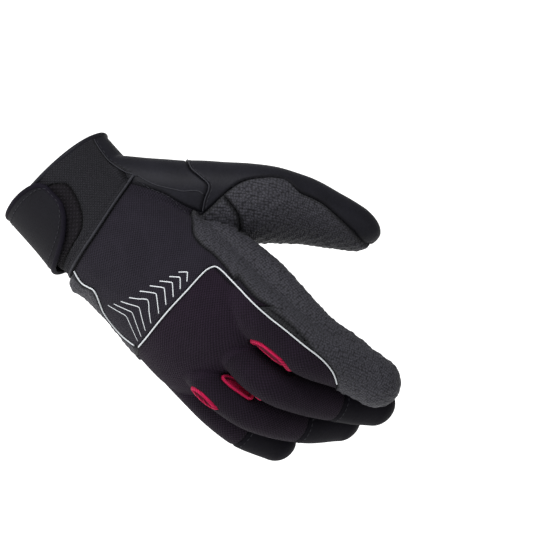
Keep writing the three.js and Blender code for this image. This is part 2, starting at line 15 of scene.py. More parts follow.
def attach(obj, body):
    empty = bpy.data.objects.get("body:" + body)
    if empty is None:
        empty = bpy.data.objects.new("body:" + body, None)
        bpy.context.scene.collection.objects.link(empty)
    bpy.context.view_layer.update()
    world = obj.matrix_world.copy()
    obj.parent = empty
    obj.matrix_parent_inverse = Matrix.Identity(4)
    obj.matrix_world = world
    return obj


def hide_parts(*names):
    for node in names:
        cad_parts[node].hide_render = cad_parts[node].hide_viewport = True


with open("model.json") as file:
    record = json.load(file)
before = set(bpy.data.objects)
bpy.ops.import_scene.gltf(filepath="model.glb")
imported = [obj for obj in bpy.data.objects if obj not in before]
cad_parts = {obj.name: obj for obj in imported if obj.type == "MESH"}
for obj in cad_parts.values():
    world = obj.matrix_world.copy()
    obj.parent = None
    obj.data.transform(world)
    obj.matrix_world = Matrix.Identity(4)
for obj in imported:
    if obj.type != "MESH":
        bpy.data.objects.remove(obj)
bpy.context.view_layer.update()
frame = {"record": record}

MM = 0.001

# The frame's driving sizes, in millimetres
CUFF_LENGTH = 43
HAND_LENGTH = 106
WHOLE_LENGTH = CUFF_LENGTH + HAND_LENGTH
HAND_WIDTH = 96
HAND_DEPTH = 43
HAND_CUP = 9
FINGER_WIDTH = 25
FINGER_DEPTH = 25
THUMB_WIDTH = 33
THUMB_DEPTH = 30
FINGER_TIP = 11
THUMB_TIP = 14
FOLD_HEIGHT = 3.2
STRAP_STANDOFF = 2.6
STRAP_WALL = 2.4
CLOTH_START = 2.0  # the cuff's cloth starts behind its binding
BINDING_RADIUS = 1.5
# How square the sections are, as the power of a superellipse
HAND_POWER = 2.25
FINGER_POWER = 2.15

# Sections of the hand: shares of the whole length, and of the hand's width and depth; roll in degrees
HAND_ROWS = (
    # at, width, depth, side, back, cup, roll, slant
    (0.0, 0.68, 1.16, -0.005, 0.0, 0.0, 0, 0.03),
    (0.157, 0.69, 1.14, -0.005, 0.0, 0.1, 0, 0.0),
    (0.295, 0.74, 1.12, -0.005, 0.0, 0.2, 1, 0.0),
    (0.412, 0.8, 1.12, 0.01, 0.0, 0.35, 3, 0.0),
    (0.56, 0.87, 1.12, 0.025, 0.0, 0.5, 6, 0.0),
    (0.706, 0.92, 1.08, 0.025, 0.0, 0.5, 9, 0.0),
    (0.82, 0.95, 0.98, 0.025, -0.02, 0.5, 11, 0.01),
    (0.9, 0.93, 0.8, 0.03, -0.07, 0.5, 12, 0.03),
    (0.96, 0.86, 0.54, 0.04, -0.15, 0.5, 12, 0.05),
    (1.0, 0.7, 0.24, 0.05, -0.23, 0.5, 12, 0.06),
)
# Lines of the fingers, the thumb and the web: shares of the whole length, the hand's depth to the palm
# side, the hand's width to the thumb's side, and of the named width and depth
FINGER_ROWS = {
    "index": (
        (0.6, 0.12, 0.36, 0.9, 0.95), (0.875, -0.09, 0.37, 1.06, 1.08), (1.0, -0.01, 0.38, 1.08, 1.1),
        (1.12, 0.16, 0.377, 1.08, 1.07), (1.25, 0.635, 0.39, 1.07, 1.0), (1.355, 0.893, 0.39, 0.99, 0.91),
        (1.415, 0.995, 0.392, 0.865, 0.795),
    ),
    "middle": (
        (0.725, 0.02, 0.125, 0.86, 0.92), (1.025, 0.05, 0.09, 0.95, 1.02), (1.09, 0.14, 0.086, 0.96, 1.04),
        (1.18, 0.51, 0.095, 0.98, 1.02), (1.285, 1.09, 0.122, 0.98, 0.96), (1.335, 1.41, 0.14, 0.93, 0.9),
        (1.375, 1.63, 0.152, 0.88, 0.86),
    ),
    "ring": (
        (0.7, 0.02, -0.115, 0.84, 0.9), (0.93, 0.04, -0.162, 0.93, 1.0), (1.0, 0.13, -0.17, 0.95, 1.02),
        (1.095, 0.35, -0.173, 0.96, 1.0), (1.205, 0.91, -0.153, 0.96, 0.95),
        (1.265, 1.48, -0.116, 0.91, 0.89), (1.3, 1.72, -0.1, 0.86, 0.85),
    ),
    "little": (
        (0.645, 0.12, -0.312, 0.8, 0.84), (0.81, 0.28, -0.342, 0.86, 0.92), (0.9, 0.38, -0.362, 0.88, 0.94),
        (0.985, 0.5, -0.38, 0.9, 0.93), (1.065, 0.67, -0.396, 0.9, 0.9), (1.165, 1.09, -0.406, 0.87, 0.85),
        (1.215, 1.29, -0.41, 0.83, 0.81),
    ),
    "thumb": (
        (0.19, 0.04, 0.15, 1.26, 1.1), (0.41, 0.4, 0.385, 1.4, 1.2), (0.58, 0.79, 0.61, 1.34, 1.12),
        (0.68, 1.12, 0.695, 1.18, 1.04), (0.785, 1.4, 0.74, 0.92, 0.85), (0.855, 1.59, 0.768, 0.74, 0.69),
        (0.915, 1.79, 0.79, 0.59, 0.56),
    ),
    "web": (
        (0.49, 0.2, 0.28, 0.7, 0.8), (0.6, 0.26, 0.355, 0.8, 0.85), (0.7, 0.3, 0.393, 0.82, 0.85),
        (0.8, 0.32, 0.416, 0.8, 0.83), (0.9, 0.32, 0.43, 0.76, 0.79), (1.0, 0.34, 0.434, 0.72, 0.75),
        (1.1, 0.42, 0.432, 0.67, 0.69), (1.2, 0.62, 0.434, 0.58, 0.6), (1.3, 0.92, 0.42, 0.48, 0.5),
    ),
}
FACES = {"thumb": (0.1, -0.75, -0.25), "web": (0, 1, 0)}
FINGER_FACE = (-0.6, 0.8, 0)
# Dents and bulges of the hand: share, angle, share of the fold height, spread along and around
FOLDS = (
    (0.345, -58, 0.8, 0.03, 17), (0.3, -62, -0.5, 0.022, 22),
    (0.31, 180, -0.55, 0.03, 60), (0.24, 92, -0.45, 0.025, 26),
)


def smooth_table(rows, x):
    """Every column of a table at x, along a smooth curve through its rows."""
    rows = np.asarray(rows, float)
    at, values = rows[:, 0], rows[:, 1:]
    slope = np.empty_like(values)
    slope[1:-1] = (values[2:] - values[:-2]) / (at[2:] - at[:-2])[:, None]
    slope[0] = (values[1] - values[0]) / (at[1] - at[0])
    slope[-1] = (values[-1] - values[-2]) / (at[-1] - at[-2])
    x = np.atleast_1d(np.asarray(x, float))
    i = np.clip(np.searchsorted(at, x, side="left") - 1, 0, len(at) - 2)
    span = (at[i + 1] - at[i])[:, None]
    t = np.clip((x[:, None] - at[i][:, None]) / span, 0, 1)
    return (
        (2 * t**3 - 3 * t**2 + 1) * values[i] + (t**3 - 2 * t**2 + t) * slope[i] * span
        + (3 * t**2 - 2 * t**3) * values[i + 1] + (t**3 - t**2) * slope[i + 1] * span
    )


def curve_through(points, per_span=24):
    """Points along a smooth centripetal curve through the given ones."""
    p = np.vstack([2 * points[0] - points[1], points, 2 * points[-1] - points[-2]])
    t = np.linspace(0, 1, per_span, endpoint=False)[:, None]
    spans = []
    for a, b, c, d in zip(p, p[1:], p[2:], p[3:]):
        ta, tb, tc = (math.sqrt(np.linalg.norm(q - r)) for q, r in ((b, a), (c, b), (d, c)))
        leave = ((b - a) / ta - (c - a) / (ta + tb) + (c - b) / tb) * tb
        arrive = ((c - b) / tb - (d - b) / (tb + tc) + (d - c) / tc) * tb
        spans.append((2 * t**3 - 3 * t**2 + 1) * b + (t**3 - 2 * t**2 + t) * leave
                     + (3 * t**2 - 2 * t**3) * c + (t**3 - t**2) * arrive)
    return np.vstack(spans + [points[-1:]])


def unit(vectors):
    """The vectors at length one."""
    return vectors / np.maximum(np.linalg.norm(vectors, axis=-1, keepdims=True), 1e-9)


def running_share(line):
    """The share of a line's length at each of its points, and the length."""
    run = np.concatenate([[0], np.cumsum(np.linalg.norm(np.diff(line, axis=0), axis=1))])
    return run / run[-1], run[-1]


def pick(share, table, at):
    """The table's rows, which stand at the given shares, at other shares."""
    return np.column_stack([np.interp(at, share, column) for column in table.T])


class Body:
    """A tube of the soft form, given by its frame at each share of its length."""

    def __init__(self, name):
        self.name = name
        self.power = HAND_POWER if name == "hand" else FINGER_POWER
        self.length = WHOLE_LENGTH
        if name == "hand":
            return
        thick = name in ("thumb", "web")
        rows = np.array(FINGER_ROWS[name])
        points = rows[:, :3] * (WHOLE_LENGTH, HAND_DEPTH, HAND_WIDTH)
        self.line = curve_through(points)
        self.share, self.length = running_share(self.line)
        self.along = unit(np.gradient(self.line, axis=0))
        self.face = np.array(FACES.get(name, FINGER_FACE), float)
        chord = np.concatenate([[0], np.cumsum(np.linalg.norm(np.diff(points, axis=0), axis=1))])
        size = (THUMB_WIDTH, THUMB_DEPTH) if thick else (FINGER_WIDTH, FINGER_DEPTH)
        self.sections = np.column_stack([chord / chord[-1], rows[:, 3:] * size / 2])
        self.tip = (THUMB_TIP if thick else FINGER_TIP) / self.length

    def frames(self, at):
        """Centre, side, back, half width, half depth, cup and slant at each share."""
        if self.name == "hand":
            width, depth, side, back, cup, roll, slant = smooth_table(HAND_ROWS, at).T
            turn = np.radians(roll)
            zero = np.zeros_like(at)
            centre = np.column_stack([at * WHOLE_LENGTH, -back * HAND_DEPTH, side * HAND_WIDTH])
            sideways = np.column_stack([zero, -np.sin(turn), np.cos(turn)])
            outwards = np.column_stack([zero, -np.cos(turn), -np.sin(turn)])
            return (centre, sideways, outwards, width * HAND_WIDTH / 2, depth * HAND_DEPTH / 2,
                    cup * HAND_CUP, slant * HAND_WIDTH)
        inside = np.clip(at, 0, 1)
        along = unit(pick(self.share, self.along, inside))
        centre = pick(self.share, self.line, inside) + along * ((at - inside) * self.length)[:, None]
        back = unit(along * (along @ self.face)[:, None] - self.face)
        run = np.clip((inside - 1 + self.tip) / self.tip, 0, 0.99)
        half = smooth_table(self.sections, inside) * np.sqrt(1 - run**2)[:, None]
        zero = np.zeros_like(at)
        return centre, np.cross(back, along), back, half[:, 0], half[:, 1], zero, zero

    def surface(self, at, angle, out=0.0):
        """Points of the surface, moved out by a distance."""
        at, angle, out = (np.array(a, float).ravel() for a in np.broadcast_arrays(at, angle, out))
        centre, side, back, width, depth, cup, slant = self.frames(at)
        turn = np.radians(angle)
        reach = out + (self.swell(at, angle) if self.name == "hand" else 0)
        x = np.sign(np.sin(turn)) * np.abs(np.sin(turn)) ** (2 / self.power) * (width + reach)
        y = np.sign(np.cos(turn)) * np.abs(np.cos(turn)) ** (2 / self.power) * (depth + reach)
        y_cupped = y - cup * (x / (HAND_WIDTH / 2)) ** 2
        points = centre + side * x[:, None] + back * y_cupped[:, None]
        points[:, 0] += slant * x / (HAND_WIDTH / 2)
        return points

    def swell(self, at, angle):
        """How far the folds raise the hand's surface."""
        total = np.zeros_like(at)
        for share, middle, height, along, around in FOLDS:
            turn = (angle - middle + 180) % 360 - 180
            total += height * FOLD_HEIGHT * np.exp(-(((at - share) / along) ** 2) - (turn / around) ** 2)
        return total

    def locate(self, points):
        """Share, angle, distance out of the surface and distance from the line, for each point."""
        if self.name == "hand":
            at = points[:, 0] / WHOLE_LENGTH
            for _ in range(3):
                centre, side, back, width, depth, cup, slant = self.frames(at)
                x = np.einsum("ij,ij->i", points - centre, side)
                at = (points[:, 0] - slant * x / (HAND_WIDTH / 2)) / WHOLE_LENGTH
            centre, side, back, width, depth, cup, slant = self.frames(at)
        else:
            step = max(1, len(self.line) // 120)
            stations = self.line[::step]
            nearest = np.concatenate([
                (np.sum(stations**2, axis=1) - 2 * chunk @ stations.T).argmin(1)
                for chunk in np.array_split(points, max(1, len(points) // 20000))
            ]) * step
            away = points - self.line[nearest]
            at = self.share[nearest] + np.einsum("ij,ij->i", away, self.along[nearest]) / self.length
            centre, side, back, width, depth, cup, slant = self.frames(at)
        away = points - centre
        x = np.einsum("ij,ij->i", away, side)
        y = np.einsum("ij,ij->i", away, back) + cup * (x / (HAND_WIDTH / 2)) ** 2
        sine = np.sign(x) * (np.abs(x) / np.maximum(width, 0.1)) ** (self.power / 2)
        cosine = np.sign(y) * (np.abs(y) / np.maximum(depth, 0.1)) ** (self.power / 2)
        angle = np.degrees(np.arctan2(sine, cosine))
        level = np.maximum((sine**2 + cosine**2) ** (1 / self.power), 1e-3)
        reach = np.hypot(x, y)
        out = reach * (1 - 1 / level)
        if self.name == "hand":
            out = out - self.swell(at, angle)
        else:
            run = np.maximum(at - 1 + self.tip, 0) / self.tip
            whole = np.maximum(np.hypot(level * np.sqrt(1 - np.minimum(run, 0.99) ** 2), run), 1e-3)
            out = np.hypot(reach, run * self.tip * self.length) * (1 - 1 / whole)
        return {"at": at, "angle": angle, "out": out, "reach": reach}


BODIES = {name: Body(name) for name in ("hand", *FINGER_ROWS)}


# Meshes that are cut are dictionaries: points, triangles and columns of values at the points

def tube(body, sides=72, rings=110):
    """A closed tube of a body, with its rings crowded towards a rounded tip."""
    tip = 0 if body.name == "hand" else body.tip
    shares = np.concatenate([
        np.linspace(0, 1 - tip, rings),
        1 - tip + tip * np.sin(np.radians(np.linspace(6, 90, 12))) if tip else [],
    ])
    angles = np.arange(sides) * 360 / sides
    grid = body.surface(np.repeat(shares, sides), np.tile(angles, len(shares)))
    return closed_tube(grid.reshape(len(shares), sides, 3))


def closed_tube(rings, loop=False):
    """Triangles between rings of points; the ends are closed unless the tube is a loop."""
    count, sides = rings.shape[:2]
    r = np.arange(count if loop else count - 1)[:, None] * sides
    following = (r + sides) % (count * sides)
    i = np.arange(sides)[None]
    j = (i + 1) % sides
    quads = np.stack([r + i, following + i, following + j, r + j], axis=-1).reshape(-1, 4)
    triangles = np.vstack([quads[:, [0, 1, 2]], quads[:, [0, 2, 3]]])
    points = rings.reshape(-1, 3)
    if not loop:
        first, last = len(points), len(points) + 1
        ends = (count - 1) * sides
        ring = np.arange(sides)
        around = (ring + 1) % sides
        triangles = np.vstack([
            triangles,
            np.column_stack([np.full(sides, first), ring, around]),
            np.column_stack([np.full(sides, last), ends + around, ends + ring]),
        ])
        points = np.vstack([points, rings[0].mean(0), rings[-1].mean(0)])
    return outward(points, triangles)


def outward(points, triangles):
    """The points, and the triangles turned to face outwards."""
    a, b, c = (points[triangles[:, k]] for k in range(3))
    if np.einsum("ij,ij->", a, np.cross(b, c)) < 0:
        triangles = triangles[:, ::-1]
    return points, triangles


def mesh_from(name, points, triangles, uv=None):
    """A mesh in metres from points in millimetres; uv is given for each corner of each triangle."""
    mesh = bpy.data.meshes.new(name)
    mesh.vertices.add(len(points))
    mesh.vertices.foreach_set("co", (np.asarray(points) * MM).astype(np.float32).ravel())
    mesh.loops.add(triangles.size)
    mesh.loops.foreach_set("vertex_index", triangles.astype(np.int32).ravel())
    mesh.polygons.add(len(triangles))
    mesh.polygons.foreach_set("loop_start", np.arange(0, triangles.size, 3, dtype=np.int32))
    mesh.polygons.foreach_set("use_smooth", np.ones(len(triangles), bool))
    mesh.update(calc_edges=True)
    if uv is not None:
        layer = mesh.uv_layers.new(name="cloth")
        layer.uv.foreach_set("vector", np.asarray(uv, np.float32).ravel())
    mesh.validate()
    return mesh


def linked(name, data):
    """An object in the scene, of a mesh, a lamp or a camera."""
    made = bpy.data.objects.new(name, data)
    bpy.context.scene.collection.objects.link(made)
    return made


def arrays_of(mesh):
    """Points in millimetres and triangles of a mesh."""
    mesh.calc_loop_triangles()
    points = np.empty(len(mesh.vertices) * 3, np.float32)
    mesh.vertices.foreach_get("co", points)
    triangles = np.empty(len(mesh.loop_triangles) * 3, np.int32)
    mesh.loop_triangles.foreach_get("vertices", triangles)
    return points.reshape(-1, 3).astype(float) / MM, triangles.reshape(-1, 3)


def joined(parts):
    """Points and triangles of several parts as one."""
    points, triangles, start = [], [], 0
    for part_points, part_triangles in parts:
        points.append(part_points)
        triangles.append(part_triangles + start)
        start += len(part_points)
    return np.vstack(points), np.vstack(triangles)


def joined_piece(name, parts):
    """One object made of several closed parts."""
    return linked(name, mesh_from(name, *joined(parts)))


def remeshed(tubes, voxel):
    """One skin round all the tubes."""
    source = joined_piece("tubes", tubes)
    remesh = source.modifiers.new("skin", "REMESH")
    remesh.mode = "VOXEL"
    remesh.voxel_size = voxel * MM
    bpy.context.view_layer.update()
    evaluated = source.evaluated_get(bpy.context.evaluated_depsgraph_get())
    skin_points, skin_triangles = arrays_of(evaluated.to_mesh())
    bpy.data.objects.remove(source)
    return skin_points, skin_triangles


def sides_of(triangles):
    """The directed sides of the triangles: first all the first sides, then the second and third ones."""
    return np.vstack([triangles[:, [0, 1]], triangles[:, [1, 2]], triangles[:, [2, 0]]])


def edges_of(triangles):
    """The edges of a mesh, and how many triangles use each."""
    return np.unique(np.sort(sides_of(triangles), axis=1), axis=0, return_counts=True)


def mean_of_neighbours(values, edges):
    total = np.empty_like(values)
    count = np.bincount(edges.ravel(), minlength=len(values))
    for k in range(values.shape[1]):
        total[:, k] = (
            np.bincount(edges[:, 0], values[edges[:, 1], k], len(values))
            + np.bincount(edges[:, 1], values[edges[:, 0], k], len(values))
        )
    return total / np.maximum(count, 1)[:, None]


def eased(points, triangles, rounds, step=0.6, keep=1.03):
    """The points smoothed without much loss of size."""
    edges = edges_of(triangles)[0]
    for _ in range(rounds):
        points = points + step * (mean_of_neighbours(points, edges) - points)
        points = points - step * keep * (mean_of_neighbours(points, edges) - points)
    return points


def normals_of(points, triangles, rounds):
    """The normals at the points, smoothed over their neighbours."""
    face = np.cross(points[triangles[:, 1]] - points[triangles[:, 0]],
                    points[triangles[:, 2]] - points[triangles[:, 0]])
    normals = np.zeros_like(points)
    for k in range(3):
        for axis in range(3):
            normals[:, axis] += np.bincount(triangles[:, k], face[:, axis], len(points))
    normals = unit(normals)
    edges = edges_of(triangles)[0]
    for _ in range(rounds):
        normals = unit(mean_of_neighbours(normals, edges))
    return normals


LEAST_LEVEL = 1e-3  # keeps a cut from passing through a point


def cut(mesh, field):
    """The parts of a mesh where a field is above and below zero, cut along its zero line."""
    points, triangles, values = mesh["points"], mesh["triangles"], mesh["values"]
    level = values[:, field].copy()
    level[np.abs(level) < LEAST_LEVEL] = LEAST_LEVEL
    inside = level > 0
    state = inside[triangles].sum(1)
    split = (state > 0) & (state < 3)
    corner = triangles[split]
    lone_inside = state[split] == 1
    lone = np.where(lone_inside[:, None], inside[corner], ~inside[corner]).argmax(1)
    corner = np.take_along_axis(corner, (lone[:, None] + np.arange(3)) % 3, axis=1)
    ends = np.sort(np.vstack([corner[:, [0, 1]], corner[:, [0, 2]]]), axis=1)
    unique, where = np.unique(ends, axis=0, return_inverse=True)
    p, q = unique.T
    share = (level[p] / (level[p] - level[q]))[:, None]
    new_points = points[p] + (points[q] - points[p]) * share
    new_values = values[p] + (values[q] - values[p]) * share
    first, second = (where.reshape(-1) + len(points)).reshape(2, -1)
    tips = np.column_stack([corner[:, 0], first, second])
    bases = np.vstack([
        np.column_stack([first, corner[:, 1], corner[:, 2]]),
        np.column_stack([first, corner[:, 2], second]),
    ])
    both = np.tile(lone_inside, 2)
    points = np.vstack([points, new_points])
    values = np.vstack([values, new_values])
    above = np.vstack([triangles[state == 3], tips[lone_inside], bases[~both]])
    below = np.vstack([triangles[state == 0], tips[~lone_inside], bases[both]])
    return compact(points, above, values), compact(points, below, values)


def compact(points, triangles, values):
    """A mesh of the triangles, without the points that they don't use."""
    used, renumbered = np.unique(triangles, return_inverse=True)
    return {"points": points[used], "triangles": renumbered.reshape(-1, 3), "values": values[used]}


def refined(mesh):
    """The mesh with each triangle split into four."""
    points, triangles, values = mesh["points"], mesh["triangles"], mesh["values"]
    edges, where = np.unique(np.sort(sides_of(triangles), axis=1), axis=0, return_inverse=True)
    ab, bc, ca = where.reshape(3, -1) + len(points)
    a, b, c = triangles.T
    split = [(a, ab, ca), (b, bc, ab), (c, ca, bc), (ab, bc, ca)]
    return {
        "points": np.vstack([points, points[edges].mean(1)]),
        "triangles": np.vstack([np.column_stack(corners) for corners in split]),
        "values": np.vstack([values, values[edges].mean(1)]),
    }


def labels(count, groups):
    """A number for each point that is the same for all points joined by the groups."""
    label = np.arange(count)
    while True:
        low = label[groups].min(1)
        new = label.copy()
        for k in range(groups.shape[1]):
            np.minimum.at(new, groups[:, k], low)
        new = new[new]
        if (new == label).all():
            return label
        label = new


def large_parts(mesh, least):
    """The mesh without its connected parts of fewer than least triangles."""
    label = labels(len(mesh["points"]), mesh["triangles"])[mesh["triangles"][:, 0]]
    names, counts = np.unique(label, return_counts=True)
    keep = np.isin(label, names[counts >= min(least, counts.max())])
    return compact(mesh["points"], mesh["triangles"][keep], mesh["values"])


def drop_islands(mesh, field):
    """Make a field negative wherever it is positive outside its largest area."""
    inside = mesh["values"][:, field] > 0
    edges = edges_of(mesh["triangles"])[0]
    label = labels(len(inside), edges[inside[edges].all(1)])
    names, counts = np.unique(label[inside], return_counts=True)
    mesh["values"][inside & (label != names[counts.argmax()]), field] = -1


# Borders of the pieces, as tables of two columns on the bodies
CUFF_SEAM = ((-180, 0.285), (-100, 0.3), (-28, 0.315), (6, 0.305), (40, 0.28), (88, 0.235))
BACK_ULNAR = (
    (0.2, -40), (0.315, -34), (0.375, -37), (0.425, -31), (0.465, -40), (0.495, -51),
    (0.55, -57), (0.605, -50), (0.665, -40), (0.73, -36), (0.85, -36), (1.0, -36),
)
BACK_RADIAL = (
    (0.2, 78), (0.24, 78), (0.315, 81), (0.395, 88), (0.465, 94), (0.495, 91),
    (0.55, 74), (0.605, 70), (0.665, 73), (0.73, 73), (0.85, 65), (1.0, 60),
)
PIPING_ACROSS = ((-36, 0.675), (-14, 0.69), (28, 0.7), (56, 0.696), (64, 0.702), (68, 0.73))
PIPING_ON_INDEX = (
    (0.23, 38), (0.34, 40), (0.43, 37), (0.55, 36), (0.605, 31), (0.64, 22), (0.67, 12), (0.71, -5),
    (0.745, -28), (0.77, -60), (0.78, -82),
)
STRIP_ON_INDEX = ((0.23, 54), (0.43, 52), (0.55, 46), (0.61, 24))
THUMB_PAD_EDGE = (
    (0.2, -138), (0.31, -152), (0.345, -171), (0.367, -166), (0.392, -157), (0.43, -141), (0.505, -112),
    (0.6, -94), (0.66, -110), (0.76, -114), (0.885, -146), (0.945, -176), (0.98, -184),
)
THUMB_PAD_START = ((-24, 0.245), (30, 0.25), (75, 0.34), (110, 0.44), (180, 0.48), (222, 0.42))
GORE_EDGE = ((0.0, -128), (0.2, -140), (0.3, -160), (0.38, -174))
LEATHER_START = ((-168, 0.35), (-150, 0.36), (-128, 0.375), (-112, 0.34), (-92, 0.295), (-20, 0.245))
FINGER_BACKS = (("middle", 0.72), ("ring", 0.69), ("little", 0.675))
# Gussets are leaves along lines on the fingers' sides: half width, then places of body, share and angle
GUSSETS = {
    "gusset_index_middle": (5.2, (
        ("index", 0.4, -76), ("index", 0.441, -50), ("index", 0.488, -48), ("index", 0.529, -51),
        ("middle", 0.475, 78),
    )),
    "gusset_middle_ring": (4.0, (
        ("ring", 0.29, 52), ("ring", 0.345, 62), ("ring", 0.4, 62), ("middle", 0.43, -58),
    )),
    "gusset_ring_little": (3.5, (
        ("ring", 0.245, -54), ("ring", 0.28, -39), ("ring", 0.311, -35), ("ring", 0.355, -31),
    )),
}
CUFF_RADIAL = ((0.0, 84), (0.03, 80), (0.07, 77), (0.146, 74), (0.207, 74), (0.24, 77), (0.3, 80))
# The loop patch on the cuff that the strap's tab closes on: share and angle of its rounded side
PATCH_EDGE = (
    (0.045, -12), (0.055, 6), (0.07, 13), (0.1, 20), (0.149, 19), (0.2, 14), (0.235, 7), (0.258, -3),
    (0.266, -22),
)
PALM_SEAM = (CUFF_SEAM[-1], (180, 0.285), (260, 0.3))  # the cuff's seam on the palm side
CUFF_END = -104  # the angle at which the back's cuff meets the palm's
HEM_WIDTH = 3.0
HEM_HEIGHT = 0.9
# How far out of a body's surface a region still holds
CLEAR, PROUD, WELL_PROUD = 1.2, 3.0, 7.0


def border(rows, x):
    """The second column of a border's table at x."""
    return smooth_table(rows, x)[:, 0]


def limit_at(limit, x):
    """A limit at x, which is a number or a border's table."""
    if isinstance(limit, (int, float)):
        return limit
    return border(limit, x)


def within(places, body, low=None, high=None, left=None, right=None, out=CLEAR, centre=0.0):
    """How far inside a region each point lies, in millimetres. Angles are counted from centre - 180.
    Limits are numbers or borders: low and high by the angle, left and right by the share."""
    place = places[body]
    at = place["at"]
    angle = (place["angle"] - centre + 180) % 360 - 180 + centre
    per_degree = np.maximum(place["reach"], 2) * math.pi / 180
    length = BODIES[body].length
    depths = [out - place["out"]]
    if low is not None:
        depths.append((at - limit_at(low, angle)) * length)
    if high is not None:
        depths.append((limit_at(high, angle) - at) * length)
    if left is not None:
        depths.append((angle - limit_at(left, at)) * per_degree)
    if right is not None:
        depths.append((limit_at(right, at) - angle) * per_degree)
    return np.minimum.reduce(depths)


LEAF_SEARCH = 40
FAR_OUTSIDE = -50.0


def leaf(points, half, places):
    """Depth inside a leaf with a round and a pointed end, drawn on the skin along a line of places."""
    anchors = np.vstack([BODIES[body].surface(at, angle) for body, at, angle in places])
    line = spaced(curve_through(anchors), 0.5)
    share = running_share(line)[0]
    width = half * np.sin(math.pi * share**0.75) ** 0.7
    depth = np.full(len(points), FAR_OUTSIDE)
    around = np.flatnonzero(np.linalg.norm(points - line.mean(0), axis=1) < LEAF_SEARCH)
    away = np.linalg.norm(points[around, None] - line[None], axis=2)
    depth[around] = (width - away).max(1)
    return depth


def regions(points, places):
    """Each piece's region as a depth inside it, in the order in which the pieces are cut out."""
    found = {}
    for body, start in FINGER_BACKS:
        found["cap_" + body] = within(places, body, low=start)
    for name, (half, line) in GUSSETS.items():
        found[name] = leaf(points, half, line)
    found["cuff_back"] = within(places, "hand", -1, CUFF_SEAM, CUFF_END, CUFF_RADIAL, PROUD)
    found["cuff_gore"] = np.maximum(
        within(places, "hand", -1, PALM_SEAM, 70, 260, PROUD, 171),
        within(places, "thumb", -1, LEATHER_START, GORE_EDGE, -26, PROUD, -90),
    )
    found["thumb_outer"] = np.maximum(
        within(places, "thumb", 0.2, None, THUMB_PAD_EDGE, -26, PROUD, -100),
        within(places, "thumb", low=0.975),
    )
    pad_edge = [(at, angle + 364) for at, angle in THUMB_PAD_EDGE]
    found["thumb_pad"] = within(places, "thumb", THUMB_PAD_START, None, -30, pad_edge, PROUD, 100)
    knuckles = [
        within(places, "hand", PIPING_ACROSS, 0.99, -62, 64, WELL_PROUD),
        within(places, "index", 0.25, 0.775, -82, PIPING_ON_INDEX),
    ]
    knuckles += [within(places, body, 0.06, end + 0.03, -80, 80) for body, end in FINGER_BACKS]
    found["knuckle_panel"] = np.maximum.reduce(knuckles)
    found["back_panel"] = np.maximum.reduce([
        within(places, "hand", 0.2, PIPING_ACROSS, BACK_ULNAR, BACK_RADIAL, WELL_PROUD),
        within(places, "hand", 0.66, 0.99, 60, BACK_RADIAL, WELL_PROUD),
        within(places, "index", 0.23, 0.61, 0, STRIP_ON_INDEX, PROUD),
    ])
    return found


# How each piece stands: raised above the skin, wall thickness, seam valley depth and width, in millimetres
STANDS = {
    "cap": (0.25, 2.0, 0.6, 0.8), "gusset": (0.3, 1.6, 0.5, 0.6), "cuff_back": (0.5, 2.0, 0.5, 0.7),
    "loop_patch": (0.85, 2.0, 0.2, 0.4), "cuff_gore": (0.0, 2.0, 0.7, 0.9),
    "thumb_outer": (0.3, 2.0, 0.6, 0.9), "thumb_pad": (0.9, 4.0, 0.9, 1.1),
    "knuckle_panel": (0.1, 2.0, 0.6, 0.8), "back_panel": (0.0, 2.0, 0.6, 0.8),
    "palm_grip": (0.9, 4.0, 0.9, 1.1),
}
EDGE_ROLL = 1.6  # a piece rises to its full height over this distance from its edge
POCKET_DEPTH = 2.2  # the gussets' hollow
POCKET_RIM = 0.65
SLIT = 0.2  # between a piece and the next
SMALLEST_PART = 60  # triangles
RIPPLE = 0.35  # the cloth's slight unevenness
DOT_PITCH = 3.3
DOT_HEIGHT = 0.55
KNOB_PITCH = 1.35
GRIPS = ("thumb_pad", "palm_grip")
MEAN_RADIUS = {"hand": 33, "index": 13, "middle": 12, "ring": 12, "little": 11, "thumb": 18, "web": 12}
UV_UNIT = 10  # millimetres of cloth
# Columns of the values at the skin's points: the normal, the mouth, the pieces and the loop patch
MOUTH = 3
FIRST_PIECE = 4


def stand_of(name):
    """The piece's row of the table above, by its name or its kind."""
    return STANDS[name] if name in STANDS else STANDS[name.split("_")[0]]


def turn_length(body):
    """The length of cloth once round a body: a whole number of pairs of dots."""
    pair = 2 * DOT_PITCH
    return max(1, round(2 * math.pi * MEAN_RADIUS[body] / pair)) * pair


def cloth_uv(body, place):
    """Cloth coordinates on a body, in millimetres, that meet round its far side."""
    around = place["angle"] / 360 * turn_length(body)
    return np.column_stack([place["at"] * BODIES[body].length, around])


def dots(uv):
    """A grid of raised dots, staggered row by row, from 0 to 1."""
    u, v = (uv / DOT_PITCH * math.pi).T
    wave = 0.5 + 0.25 * (np.cos(u + v) + np.cos(u - v))
    return np.clip((wave - 0.35) / 0.65, 0, 1) ** 0.8


def unevenness(points, span):
    """A smooth, irregular value from -1 to 1, which changes over about the given span in millimetres."""
    x, y, z = (points / span * 2 * math.pi).T
    return (np.sin(0.9 * x + 0.4 * y + 1.3) + np.sin(0.5 * y - 0.8 * z + 0.2 * x)
            + np.sin(0.7 * z + 0.6 * x + 0.5 * y + 2.1)) / 3


def ease(x):
    """A soft step from 0 to 1."""
    x = np.clip(x, 0, 1)
    return x * x * (3 - 2 * x)


